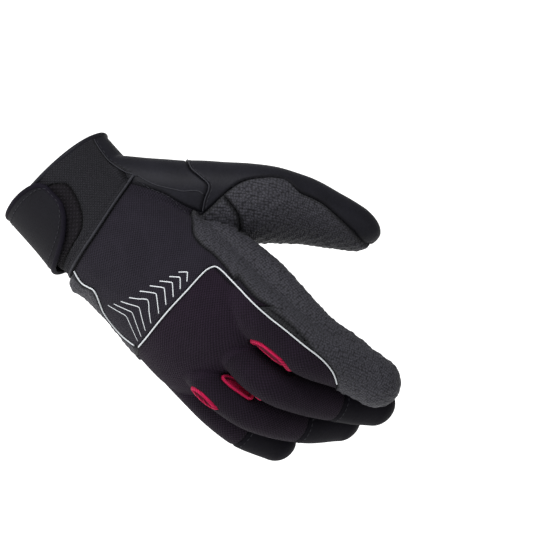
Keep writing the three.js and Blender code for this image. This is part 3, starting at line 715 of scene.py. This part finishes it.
def relief_of(name, points, inset, hand, uv):
    """How far the outer face of a piece stands out of the skin, by the distance from its edge."""
    lift, _, valley, spread = stand_of(name)
    relief = lift * ease(inset / EDGE_ROLL) - valley * np.exp(-(inset / spread) ** 2)
    if name in GRIPS:
        relief += DOT_HEIGHT * dots(uv) * ease((inset - 0.6) / 2) * (0.75 + 0.5 * unevenness(points, 7))
    if name.startswith("gusset"):
        relief += POCKET_RIM * np.exp(-((inset - 0.8) / 0.6) ** 2) - POCKET_DEPTH * ease((inset - 1.3) / 1.3)
    if name == "cuff_back":
        edge = (border(CUFF_SEAM, hand["angle"]) - hand["at"]) * WHOLE_LENGTH
        fold = np.abs(edge - HEM_WIDTH / 2) / (HEM_WIDTH / 2)
        groove = 0.4 * np.exp(-((edge - HEM_WIDTH - 0.3) / 0.4) ** 2)
        relief += HEM_HEIGHT * np.sqrt(np.clip(1 - fold**2, 0, 1)) - groove
    return relief


def walled(triangles, count):
    """Triangles of the outer face, of the inner face, whose points come count later, and of the rim."""
    edges, uses = edges_of(triangles)
    rim = edges[uses == 1]
    directed = sides_of(triangles)
    code = directed[:, 0] * count + directed[:, 1]
    forward = np.isin(rim[:, 0] * count + rim[:, 1], code)
    rim = np.where(forward[:, None], rim, rim[:, ::-1])
    return np.vstack([
        triangles, triangles[:, ::-1] + count,
        np.column_stack([rim[:, 0], rim[:, 0] + count, rim[:, 1]]),
        np.column_stack([rim[:, 1], rim[:, 0] + count, rim[:, 1] + count]),
    ])


def shell(name, mesh, field):
    """One piece: its outer face with relief, its inner face and its rim."""
    _, wall, _, spread = stand_of(name)
    points, normals = mesh["points"], unit(mesh["values"][:, :3])
    count = len(points)
    places = {body: BODIES[body].locate(points) for body in BODIES}
    # Each point belongs to the body whose surface is nearest, and hardly to one that it lies beyond
    owner = np.column_stack([
        np.abs(place["out"]) + 50 * np.maximum(0, np.abs(place["at"] - 0.5) - 0.5)
        for place in places.values()
    ]).argmin(1)
    uvs = np.stack([cloth_uv(body, place) for body, place in places.items()])
    inset = np.maximum(field, 0)
    relief = relief_of(name, points, inset, places["hand"], uvs[owner, np.arange(count)])
    outer = points + normals * relief[:, None]
    inner = points - normals * wall
    triangles = walled(mesh["triangles"], count)
    corners = triangles % count
    face_owner = np.median(owner[corners], axis=1).astype(int)
    uv = uvs[face_owner[:, None], corners]
    for k, body in enumerate(places):
        turn = turn_length(body)
        around = uv[face_owner == k, :, 1]
        far = around.max(1, keepdims=True) - around > turn / 2
        uv[face_owner == k, :, 1] = np.where(far, around + turn, around)
    mesh = mesh_from(name, np.vstack([outer, inner]), triangles, uv / UV_UNIT)
    # Painted shade: the seam attribute darkens the colour along the seam valley at a piece's edge, and in a
    # gusset it darkens the hollow inside the rim instead.
    near = np.exp(-(inset / (1.6 * spread)) ** 2)
    if name.startswith("gusset"):
        near = ease((inset - 1.2) / 1.0)
    seam = mesh.attributes.new("seam", "FLOAT", "POINT")
    seam.data.foreach_set("value", np.concatenate([near, np.zeros(count)]).astype(np.float32))
    return linked(name, mesh)


def build_cloth():
    """The skin cut into its pieces, as objects by name, and the skin itself."""
    voxel = 0.86
    points, triangles = remeshed([tube(body) for body in BODIES.values()], voxel)
    points = eased(points, triangles, round(9 / voxel))
    triangles = outward(points, triangles)[1]
    normals = normals_of(points, triangles, 6)
    ripple = unevenness(points, 42) + 0.5 * unevenness(points[:, ::-1], 21)
    points = points + normals * (RIPPLE * ripple)[:, None]
    places = {name: body.locate(points) for name, body in BODIES.items()}
    fields = regions(points, places)
    mouth = places["hand"]["at"] * WHOLE_LENGTH - CLOTH_START
    patch = within(places, "hand", PATCH_EDGE[0][0], PATCH_EDGE[-1][0], CUFF_END, PATCH_EDGE, PROUD)
    values = np.column_stack([normals, mouth, *fields.values(), patch])
    patch_column = values.shape[1] - 1
    rest = cut({"points": points, "triangles": triangles, "values": values}, MOUTH)[0]
    made = {}
    for column, name in enumerate(fields, FIRST_PIECE):
        drop_islands(rest, column)
        piece = large_parts(cut(rest, column)[0], SMALLEST_PART)
        if name.startswith("gusset"):
            piece = refined(refined(piece))
        if name == "cuff_back":
            loops, piece = cut(piece, patch_column)
            depth = loops["values"][:, [column, patch_column]].min(1)
            made["loop_patch"] = shell("loop_patch", loops, depth)
        depths = piece["values"]
        inset = np.minimum.reduce([depths[:, column], *-depths[:, FIRST_PIECE:column].T])
        if name == "cuff_back":
            inset = np.minimum(inset, 0.4 - depths[:, patch_column])
        made[name] = shell(name, piece, np.minimum(inset, depths[:, MOUTH] + 3))
        rest["values"][:, column] += SLIT
        rest = cut(rest, column)[1]
        rest["values"][:, column] -= SLIT
    rest = large_parts(rest, SMALLEST_PART)
    made["palm_grip"] = shell("palm_grip", rest, (-rest["values"][:, FIRST_PIECE:patch_column]).min(1))
    return made, BVHTree.FromPolygons([Vector(p) for p in points], triangles.tolist())


# Tubes laid on the skin

def tube_piece(name, rings, loop=False):
    """An object made of one closed tube."""
    return linked(name, mesh_from(name, *closed_tube(rings, loop)))


def on_skin(tree, body, at, angle, lift, reach=22):
    """Points on the skin over places on a body, raised by lift, and the way out at each."""
    far = BODIES[body].surface(at, angle, reach)
    near = BODIES[body].surface(at, angle, 0)
    found, ways = [], []
    for p, q in zip(far, near):
        way = Vector(q - p).normalized()
        hit = tree.ray_cast(Vector(p), way)[0]
        found.append(np.array((hit if hit else Vector(q)) - way * lift))
        ways.append(-np.array(way))
    return np.array(found), np.array(ways)


def sweep(line, radius, sides=10, loop=False, flat=1.0, up=None):
    """Rings of points round a line, flattened along up where it is given."""
    gradient = np.gradient(line, axis=0)
    if loop:
        gradient = np.roll(line, -1, axis=0) - np.roll(line, 1, axis=0)
    along = unit(gradient)
    if up is None:
        up = np.tile([0.0, -1.0, 0.2], (len(line), 1))
    up = unit(up - along * np.einsum("ij,ij->i", up, along)[:, None])
    side = np.cross(along, up)
    turn = np.arange(sides) * 2 * math.pi / sides
    radius = np.broadcast_to(radius, len(line))[:, None, None]
    return (line[:, None] + radius * (np.cos(turn)[None, :, None] * side[:, None]
            + flat * np.sin(turn)[None, :, None] * up[:, None]))


def spaced(line, step):
    """The line with points an even step apart."""
    share, length = running_share(line)
    return pick(share, line, np.linspace(0, 1, max(3, round(length / step)) + 1))


PIPING_RADIUS = 0.42
PIPING_LIFT = 0.3


def build_piping(tree):
    """The pale piping across the back to the index finger, and the one along the little finger's side."""
    made = {}
    angles = np.linspace(-36, 67, 40)
    shares = np.linspace(0.27, 0.735, 44)
    across = on_skin(tree, "hand", border(PIPING_ACROSS, angles), angles, PIPING_LIFT)[0]
    index = on_skin(tree, "index", shares, border(PIPING_ON_INDEX, shares), PIPING_LIFT)[0]
    main = curve_through(spaced(np.vstack([across, index]), 5))
    shares = np.linspace(0.32, 0.655, 50)
    side = on_skin(tree, "hand", shares, border(BACK_ULNAR, shares), PIPING_LIFT)[0]
    side = curve_through(spaced(side, 4))
    for name, line in (("main_piping", main), ("side_piping", side)):
        made[name] = tube_piece(name, sweep(spaced(line, 0.8), PIPING_RADIUS, 12))
    return made


def build_binding():
    """The round binding of the cuff's opening."""
    edge = BODIES["hand"].surface(CLOTH_START / WHOLE_LENGTH, np.arange(120) * 3.0, -0.5)
    edge[:, 0] += BINDING_RADIUS - CLOTH_START
    up = np.tile([-1.0, 0.0, 0.0], (len(edge), 1))
    return tube_piece("cuff_binding", sweep(edge, BINDING_RADIUS, 14, True, up=up), True)


MOTIF_COUNT = 9
MOTIF_WIDTH = 0.6


def build_motif(tree):
    """Pale chevrons printed beside the piping, which grow towards the little finger's side."""
    parts = []
    for i in range(MOTIF_COUNT):
        share = i / (MOTIF_COUNT - 1)
        tip = -20 + 62 * share
        height = (12.5 - 9 * share) / WHOLE_LENGTH
        middle = border(PIPING_ACROSS, tip)[0] - 0.045 - 0.062 * (1 - share)
        across = np.linspace(-1, 1, 25)
        angles = tip - (11 - 5 * share) * np.sqrt(across**2 + 0.004)
        line, ways = on_skin(tree, "hand", middle + height * across, angles, 0.12)
        parts.append(closed_tube(sweep(line, MOTIF_WIDTH / 2, 8, flat=0.3, up=ways)))
    return joined_piece("motif", parts)


STITCH_LENGTH = 2.1
STITCH_GAP = 1.0
STITCH_RADIUS = 0.2
STITCH_ON_SKIN = 0.8  # a stitch farther from the skin is left out


def stitches(line, ways):
    """A row of stitches along a line."""
    share, length = running_share(line)
    pitch = STITCH_LENGTH + STITCH_GAP
    count = round(length / pitch)
    radius = STITCH_RADIUS * np.array([0.35, 0.9, 1.0, 0.9, 0.35])
    parts = []
    for i in range(count):
        at = (i + np.linspace(0.1, 0.1 + STITCH_LENGTH / pitch, len(radius))) / count
        thread = pick(share, line, at)
        parts.append(closed_tube(sweep(thread, radius, 6, up=pick(share, ways, at))))
    return parts


# Rows of stitches: body, then shares and angles along the row
SEAM_ROWS = [
    ("hand", [(s, border(CUFF_RADIAL, s)[0] + 3.2) for s in np.linspace(0.03, 0.225, 16)]),
    ("hand", [(s, border(BACK_RADIAL, s)[0] - 3.2) for s in np.linspace(0.26, 0.47, 16)]),
    ("thumb", [(border(LEATHER_START, a)[0] + 0.014, a) for a in range(-164, -24, 6)]),
]
SEAM_ROWS += [(body, [(start + 0.016, a) for a in range(-46, 79, 6)]) for body, start in FINGER_BACKS]
# Thin raised cords along seams, light in colour as a painted highlight on the hem's roll and the seams'
# ridges: body, radius, then shares and angles along the cord
SEAM_HIGHLIGHT_CORDS = (
    # The first cord lies on the hem's roll and paints its highlight.
    ("hand", 0.75, [(border(CUFF_SEAM, a)[0] - 0.007, a) for a in range(-98, 77, 3)]),
    ("hand", 0.3, [(s, border(CUFF_RADIAL, s)[0]) for s in np.linspace(0.02, 0.25, 30)]),
    ("hand", 0.3, [(s, border(BACK_RADIAL, s)[0]) for s in np.linspace(0.25, 0.46, 30)]),
    ("thumb", 0.35, [(border(LEATHER_START, a)[0] + 0.004, a) for a in range(-166, -40, 4)]),
)
# How far out the search for the skin starts: near enough to meet the body's own skin
SEAM_REACH = {"hand": 22, "thumb": 6, "middle": 6, "ring": 6, "little": 6}


def build_seam_highlight_cords(tree):
    """The thin raised cords of the seams between the cuff, the gore, the back and the thumb, in a light
    colour that paints the highlight on the hem's roll and the seams' ridges.
    """
    parts = []
    for body, radius, places in SEAM_HIGHLIGHT_CORDS:
        at, angle = np.array(places).T
        line, ways = on_skin(tree, body, at, angle, 0.2 + 0.7 * radius, SEAM_REACH[body])
        smooth = spaced(curve_through(spaced(line, 3)), 0.8)
        up = np.tile(ways.mean(0), (len(smooth), 1))
        parts.append(closed_tube(sweep(smooth, radius, 8, up=up)))
    return joined_piece("seam_cords", parts)


def build_stitches(tree):
    """The stitches along the seams, without those of a row that leaves the skin between two fingers."""
    parts = []
    for body, places in SEAM_ROWS:
        at, angle = np.array(places).T
        for thread in stitches(*on_skin(tree, body, at, angle, 0.35, SEAM_REACH[body])):
            if tree.find_nearest(Vector(thread[0].mean(0)))[3] < STITCH_ON_SKIN:
                parts.append(thread)
    return joined_piece("stitches", parts)


STRAP_ROWS = (
    # angle, then middle, half (shares of the length) and lift (share of the standoff)
    (-168, 0.125, 0.1, 0.1), (-140, 0.125, 0.11, 0.4), (-100, 0.127, 0.12, 0.85),
    (-60, 0.126, 0.125, 1.0), (-36, 0.124, 0.125, 0.8), (-20, 0.118, 0.119, 0.6),
    (-8, 0.11, 0.104, 0.45), (0, 0.1, 0.08, 0.4), (5, 0.092, 0.042, 0.4),
)
RIM_RADIUS = 1.45
GAP = 0.5  # between the cuff and the strap
EDGE_ACROSS, STITCHES_ACROSS = 0.97, 0.78
STRAP_COLUMNS = 41


def strap_point(angle, across, out):
    """Points of the strap: across runs from -1 to 1 between its edges."""
    middle, half, lift = smooth_table(STRAP_ROWS, angle).T
    return BODIES["hand"].surface(middle + half * across, angle, lift * STRAP_STANDOFF + GAP + out)


def strap_angles(start, straight, last, rounded):
    """Angles along the strap, crowded towards the end of its rounded tab."""
    tab = -12 + 17 * np.sin(np.radians(np.linspace(3, last, rounded)))
    return np.concatenate([np.linspace(start, -12, straight), tab])


def strap_edge(angles, across, out):
    """A line along one edge of the strap and back along the other."""
    return np.vstack([strap_point(angles, -across, out), strap_point(angles, across, out)[::-1]])


def build_strap():
    """The wrist strap with a crowned face, and the binding and stitches round its edge."""
    angles = strap_angles(-168, 110, 90, 26)
    across = np.sin(np.radians(np.linspace(-90, 90, STRAP_COLUMNS)))
    a, c = np.repeat(angles, STRAP_COLUMNS), np.tile(across, len(angles))
    crown = 0.5 * (1 - c**6) * ease((5.5 - a) / 14)
    grid = (len(angles), STRAP_COLUMNS, 3)
    upper = strap_point(a, c * EDGE_ACROSS, STRAP_WALL - 0.5 + crown).reshape(grid)
    lower = strap_point(a, c * EDGE_ACROSS, 0.4).reshape(grid)
    strap = tube_piece("wrist_strap", np.concatenate([upper, lower[:, ::-1]], axis=1))

    sides = strap_angles(-166, 60, 86, 22)
    edge = strap_edge(sides, EDGE_ACROSS, STRAP_WALL / 2)
    line = spaced(curve_through(spaced(edge, 3)), 0.9)
    outer_edge = strap_edge(sides, EDGE_ACROSS, STRAP_WALL / 2 + 1)
    up = pick(running_share(edge)[0], outer_edge - edge, running_share(line)[0])
    rim = tube_piece("strap_rim", sweep(line, RIM_RADIUS, 14, flat=0.95, up=up))

    row = spaced(strap_edge(sides, STITCHES_ACROSS, STRAP_WALL + 0.1), 1)
    way = BODIES["hand"].surface(0.12, -20, 1) - BODIES["hand"].surface(0.12, -20, 0)
    threads = joined_piece("strap_stitches", stitches(row, np.tile(way, (len(row), 1))))
    return {"wrist_strap": strap, "strap_rim": rim, "strap_stitches": threads}


# Materials

def material(name, colour, roughness, sheen=0.0, specular=0.5):
    """A principled material, with its node tree and the shader in it."""
    made = bpy.data.materials.new(name)
    made.use_nodes = True
    shader = made.node_tree.nodes["Principled BSDF"]
    shader.inputs["Base Color"].default_value = (*colour, 1)
    shader.inputs["Roughness"].default_value = roughness
    shader.inputs["Sheen Weight"].default_value = sheen
    shader.inputs["Specular IOR Level"].default_value = specular
    return made, made.node_tree, shader


def node(tree, kind, **settings):
    """A new node, with settings for its inputs or its properties."""
    made = tree.nodes.new(kind)
    for key, value in settings.items():
        if key in made.inputs.keys():
            made.inputs[key].default_value = value
        else:
            setattr(made, key, value)
    return made


def stripes(tree, direction, pitch):
    """A sine from 0 to 1 across lines with the given pitch in cloth millimetres."""
    place = node(tree, "ShaderNodeTexCoord")
    dot = node(tree, "ShaderNodeVectorMath", operation="DOT_PRODUCT")
    factor = 2 * math.pi * UV_UNIT / pitch / math.hypot(*direction)
    dot.inputs[1].default_value = (direction[0] * factor, direction[1] * factor, 0)
    tree.links.new(place.outputs["UV"], dot.inputs[0])
    return maths(tree, "MULTIPLY_ADD", maths(tree, "SINE", dot.outputs["Value"]), 0.5, 0.5)


def noise(tree, scale, detail=3.0, roughness=0.6):
    place = node(tree, "ShaderNodeTexCoord")
    made = node(tree, "ShaderNodeTexNoise", Scale=scale, Detail=detail, Roughness=roughness)
    tree.links.new(place.outputs["Object"], made.inputs["Vector"])
    return made.outputs["Fac"]


def maths(tree, operation, *values):
    """The result of an operation on numbers or sockets."""
    made = node(tree, "ShaderNodeMath", operation=operation)
    for socket, value in zip(made.inputs, values):
        if isinstance(value, (int, float)):
            socket.default_value = value
        else:
            tree.links.new(value, socket)
    return made.outputs[0]


def blend(tree, *parts):
    """The sum of the parts, which are each a socket and its share."""
    total = None
    for socket, share in parts:
        term = socket if share == 1 else maths(tree, "MULTIPLY", socket, share)
        total = term if total is None else maths(tree, "ADD", total, term)
    return total


def tint(tree, shader, factor, low, high, first=0.3, last=0.7, seam=0.0):
    """A colour between low and high by the factor, with painted shade by the share seam: darker where the
    seam attribute marks the seam valleys and the gussets' hollows.
    """
    if seam:
        attribute = node(tree, "ShaderNodeAttribute", attribute_name="seam")
        factor = maths(tree, "SUBTRACT", factor, maths(tree, "MULTIPLY", attribute.outputs["Fac"], seam))
    ramp = node(tree, "ShaderNodeValToRGB")
    for element, position, colour in zip(ramp.color_ramp.elements, (first, last), (low, high)):
        element.position = position
        element.color = (*colour, 1)
    tree.links.new(factor, ramp.inputs["Fac"])
    tree.links.new(ramp.outputs["Color"], shader.inputs["Base Color"])


def bump(tree, shader, height, distance):
    made = node(tree, "ShaderNodeBump", Distance=distance, Strength=1.0)
    tree.links.new(height, made.inputs["Height"])
    tree.links.new(made.outputs["Normal"], shader.inputs["Normal"])


def ribbed_cloth(name, low, high):
    """Stretch cloth with a fine diamond weave, stronger one way than the other."""
    made, tree, shader = material(name, low, 0.85, 0.02, 0.12)
    weave = blend(tree, (stripes(tree, (1, 0.8), 1.2), 1), (stripes(tree, (1, -0.8), 1.2), 0.75))
    bump(tree, shader, blend(tree, (weave, 1), (noise(tree, 900), 0.5)), 0.0002)
    # The last share, 0.4, is the painted shade at the seams.
    tint(tree, shader, blend(tree, (weave, 0.4), (noise(tree, 160), 0.45)), low, high, 0.2, 0.85, 0.4)
    return made


def loop_cloth(name, low, high, pitch):
    """Brushed loops in crossed rows."""
    made, tree, shader = material(name, low, 0.9, 0.02, 0.12)
    ribs = maths(tree, "MULTIPLY", stripes(tree, (1, 1), pitch), stripes(tree, (1, -1), pitch))
    bump(tree, shader, blend(tree, (ribs, 1), (noise(tree, 1300, 5, 0.7), 1)), 0.0004)
    shade = blend(tree, (noise(tree, 1500, 4, 0.7), 0.8), (ribs, 0.3))
    # The last share, 0.4, is the painted shade at the seams.
    tint(tree, shader, shade, low, high, 0.25, 0.75, 0.4)
    return made


def grip_cloth():
    """Pebbled grip cloth: uneven little knobs over a fine grain."""
    made, tree, shader = material("grip", (0.05, 0.05, 0.056), 0.62, 0.02, 0.22)
    place = node(tree, "ShaderNodeTexCoord")
    knobs = node(tree, "ShaderNodeTexVoronoi", voronoi_dimensions="2D", Scale=UV_UNIT / KNOB_PITCH,
                 Randomness=0.55)
    tree.links.new(place.outputs["UV"], knobs.inputs["Vector"])
    knob = maths(tree, "SUBTRACT", 1.0, knobs.outputs["Distance"])
    grain = noise(tree, 1300, 4, 0.7)
    rows = stripes(tree, (0, 1), DOT_PITCH / 2)
    bump(tree, shader, blend(tree, (knob, 1), (grain, 0.5)), 0.0006)
    shade = blend(tree, (knob, 0.75), (grain, 0.35), (rows, 0.1))
    # The last share, 0.5, is the painted shade at the seams.
    tint(tree, shader, shade, (0.008, 0.008, 0.010), (0.044, 0.043, 0.054), 0.4, 0.9, 0.5)
    return made


def leather(name, colour, roughness, pebble=700, gloss=0.14):
    """Finely pebbled synthetic leather, unevenly worn."""
    made, tree, shader = material(name, colour, roughness, 0.0, gloss)
    grain = noise(tree, pebble, 5, 0.65)
    bump(tree, shader, grain, 0.0002)
    low = tuple(0.6 * c for c in colour)
    high = tuple(1.4 * c for c in colour)
    # seam=0.5 is the painted shade at the seams.
    tint(tree, shader, blend(tree, (grain, 0.5), (noise(tree, 60), 0.5)), low, high, seam=0.5)
    return made


def red_cloth():
    made, tree, shader = material("red_fabric", (0.43, 0.0, 0.05), 0.75, 0.05, 0.2)
    ribs = stripes(tree, (0, 1), 0.9)
    bump(tree, shader, ribs, 0.0002)
    shade = blend(tree, (ribs, 0.4), (noise(tree, 300), 0.5))
    # The last share, 0.75, is the painted shade inside the gussets' hollows.
    tint(tree, shader, shade, (0.13, 0.001, 0.02), (0.50, 0.002, 0.06), 0.0, 0.6, 0.75)
    return made


def piping_cord():
    made, tree, shader = material("piping", (0.74, 0.77, 0.78), 0.5, 0.0, 0.5)
    weave = noise(tree, 1800, 2)
    bump(tree, shader, weave, 0.0001)
    tint(tree, shader, weave, (0.46, 0.48, 0.5), (0.64, 0.67, 0.69))
    return made


def neoprene():
    made, tree, shader = material("strap", (0.018, 0.018, 0.02), 0.75, 0.02, 0.12)
    knit = noise(tree, 1700, 3, 0.6)
    bump(tree, shader, knit, 0.0002)
    shade = blend(tree, (knit, 0.6), (noise(tree, 90), 0.4))
    tint(tree, shader, shade, (0.0032, 0.0029, 0.0046), (0.0066, 0.0062, 0.0092))
    return made


# Slots of the pieces that are no node of the frame, and the looks that differ from a piece's slot
EXTRA_SLOTS = {
    "loop_patch": "loop_fabric", "motif": "piping", "stitches": "smooth_leather", "strap_stitches": "strap",
    "seam_cords": "smooth_leather",
}
# The seam cords take the light thread look as a painted highlight on the hem's roll and the seams' ridges;
# the stitches' thread colour is their own.
LOOKS = {
    "knuckle_panel": "knuckle_purple_and_shade", "loop_patch": "loop_patch", "stitches": "thread",
    "strap_stitches": "thread", "seam_cords": "thread",
}


def dress(pieces):
    """Materials, slots, bodies and the nodes that the pieces stand for."""
    looks = {
        "back_fabric": ribbed_cloth("back_fabric", (0.0062, 0.0052, 0.0085), (0.0165, 0.0138, 0.0215)),
        # Darker, more purple copy of the back cloth for the knuckle panel: the purple is the cloth's own
        # tone, the extra darkness is painted shade.
        "knuckle_purple_and_shade": ribbed_cloth("knuckle_purple_and_shade", (0.0046, 0.0022, 0.0056), (0.0135, 0.0072, 0.0160)),
        "loop_fabric": loop_cloth("loop_fabric", (0.005, 0.005, 0.0064), (0.023, 0.0222, 0.027), 1.35),
        # Darker copy of the loop cloth for the patch: partly the patch's own darker loops, partly painted
        # shade of the strap's tab above it.
        "loop_patch": loop_cloth("loop_patch", (0.0016, 0.0012, 0.0018), (0.0135, 0.0115, 0.0150), 1.9),
        "grip": grip_cloth(), "thread": leather("thread", (0.026, 0.026, 0.032), 0.6, 1500),
        "smooth_leather": leather("smooth_leather", (0.0068, 0.0067, 0.0102), 0.58),
        "tip_leather": leather("tip_leather", (0.0048, 0.0038, 0.0078), 0.7, 500, 0.08),
        "red_fabric": red_cloth(), "piping": piping_cord(), "strap": neoprene(),
    }
    slots = {part["node"]: part["material_slot"] for part in frame["record"]["subparts"]}
    for name, piece in pieces.items():
        slot = slots.get(name) or EXTRA_SLOTS[name]
        piece.name = name + "_cloth"
        piece.data.materials.clear()
        piece.data.materials.append(looks[LOOKS.get(name, slot)])
        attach(piece, "root")
        if name == "loop_patch":
            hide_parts("cuff_back")
        elif name in slots:
            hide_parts(name)


# The photograph's view: an orthographic camera, rolled, with the origin at a known pixel
PHOTO_SIZE = 550
ORIGIN_PIXEL = (59.4, 171.9)
PIXELS_PER_MM = 1.876
AZIMUTH, ELEVATION, ROLL = 17.41, 29.66, 39.4
CAMERA_DISTANCE = 1.2


def build_camera():
    """The camera, and its directions to the right, up and towards it."""
    data = bpy.data.cameras.new("camera")
    data.type = "ORTHO"
    data.ortho_scale = PHOTO_SIZE / PIXELS_PER_MM * MM
    data.clip_end = 20
    camera = linked("camera", data)
    turn, rise = math.radians(AZIMUTH), math.radians(ELEVATION)
    towards = Vector((math.sin(turn) * math.cos(rise), -math.cos(turn) * math.cos(rise), math.sin(rise)))
    level = Matrix.Rotation(math.radians(ROLL), 3, towards) @ towards.to_track_quat("Z", "Y").to_matrix()
    right, up = level.col[0], level.col[1]
    shift = [(PHOTO_SIZE / 2 - pixel) / PIXELS_PER_MM * MM for pixel in ORIGIN_PIXEL]
    centre = right * shift[0] - up * shift[1]
    camera.matrix_world = Matrix.LocRotScale(centre + towards * CAMERA_DISTANCE, level, None)
    bpy.context.scene.camera = camera
    return right, up, towards


def area_light(name, place, aim, size, power):
    data = bpy.data.lights.new(name, "AREA")
    data.size = size
    data.energy = power
    lamp = linked(name, data)
    lamp.matrix_world = Matrix.LocRotScale(
        Vector(place), (Vector(place) - Vector(aim)).to_track_quat("Z", "Y"), None)


def build_stage(right, up, towards):
    """A pale floor well below the glove, and soft lights set out from the camera's view."""
    mesh = bpy.data.meshes.new("floor")
    half, drop = 6, -0.16
    mesh.from_pydata([(-half, -half, drop), (half, -half, drop), (half, half, drop), (-half, half, drop)],
                     [], [(0, 1, 2, 3)])
    floor = linked("floor", mesh)
    pale, _, paint = material("floor_paint", (0.8, 0.8, 0.8), 0.9)
    paint.inputs["Emission Color"].default_value = (1, 1, 1, 1)
    paint.inputs["Emission Strength"].default_value = 0.75
    floor.data.materials.append(pale)
    aim = Vector((0.09, 0.02, 0.01))
    area_light("key", aim - right * 0.35 + up * 0.8 + towards * 0.75, aim, 0.5, 13)
    area_light("fill", aim + right * 0.9 + up * 0.1 + towards * 0.8, aim, 1.0, 3)
    world = bpy.data.worlds.new("studio")
    world.use_nodes = True
    world.node_tree.nodes["Background"].inputs["Color"].default_value = (1, 1, 1, 1)
    world.node_tree.nodes["Background"].inputs["Strength"].default_value = 0.36
    bpy.context.scene.world = world
    bpy.context.scene.view_settings.view_transform = "Standard"


view = build_camera()
build_stage(*view)
pieces, skin = build_cloth()
pieces.update(build_piping(skin))
pieces["motif"] = build_motif(skin)
pieces["stitches"] = build_stitches(skin)
pieces["seam_cords"] = build_seam_highlight_cords(skin)
pieces["cuff_binding"] = build_binding()
pieces.update(build_strap())
dress(pieces)
bpy.context.view_layer.update()
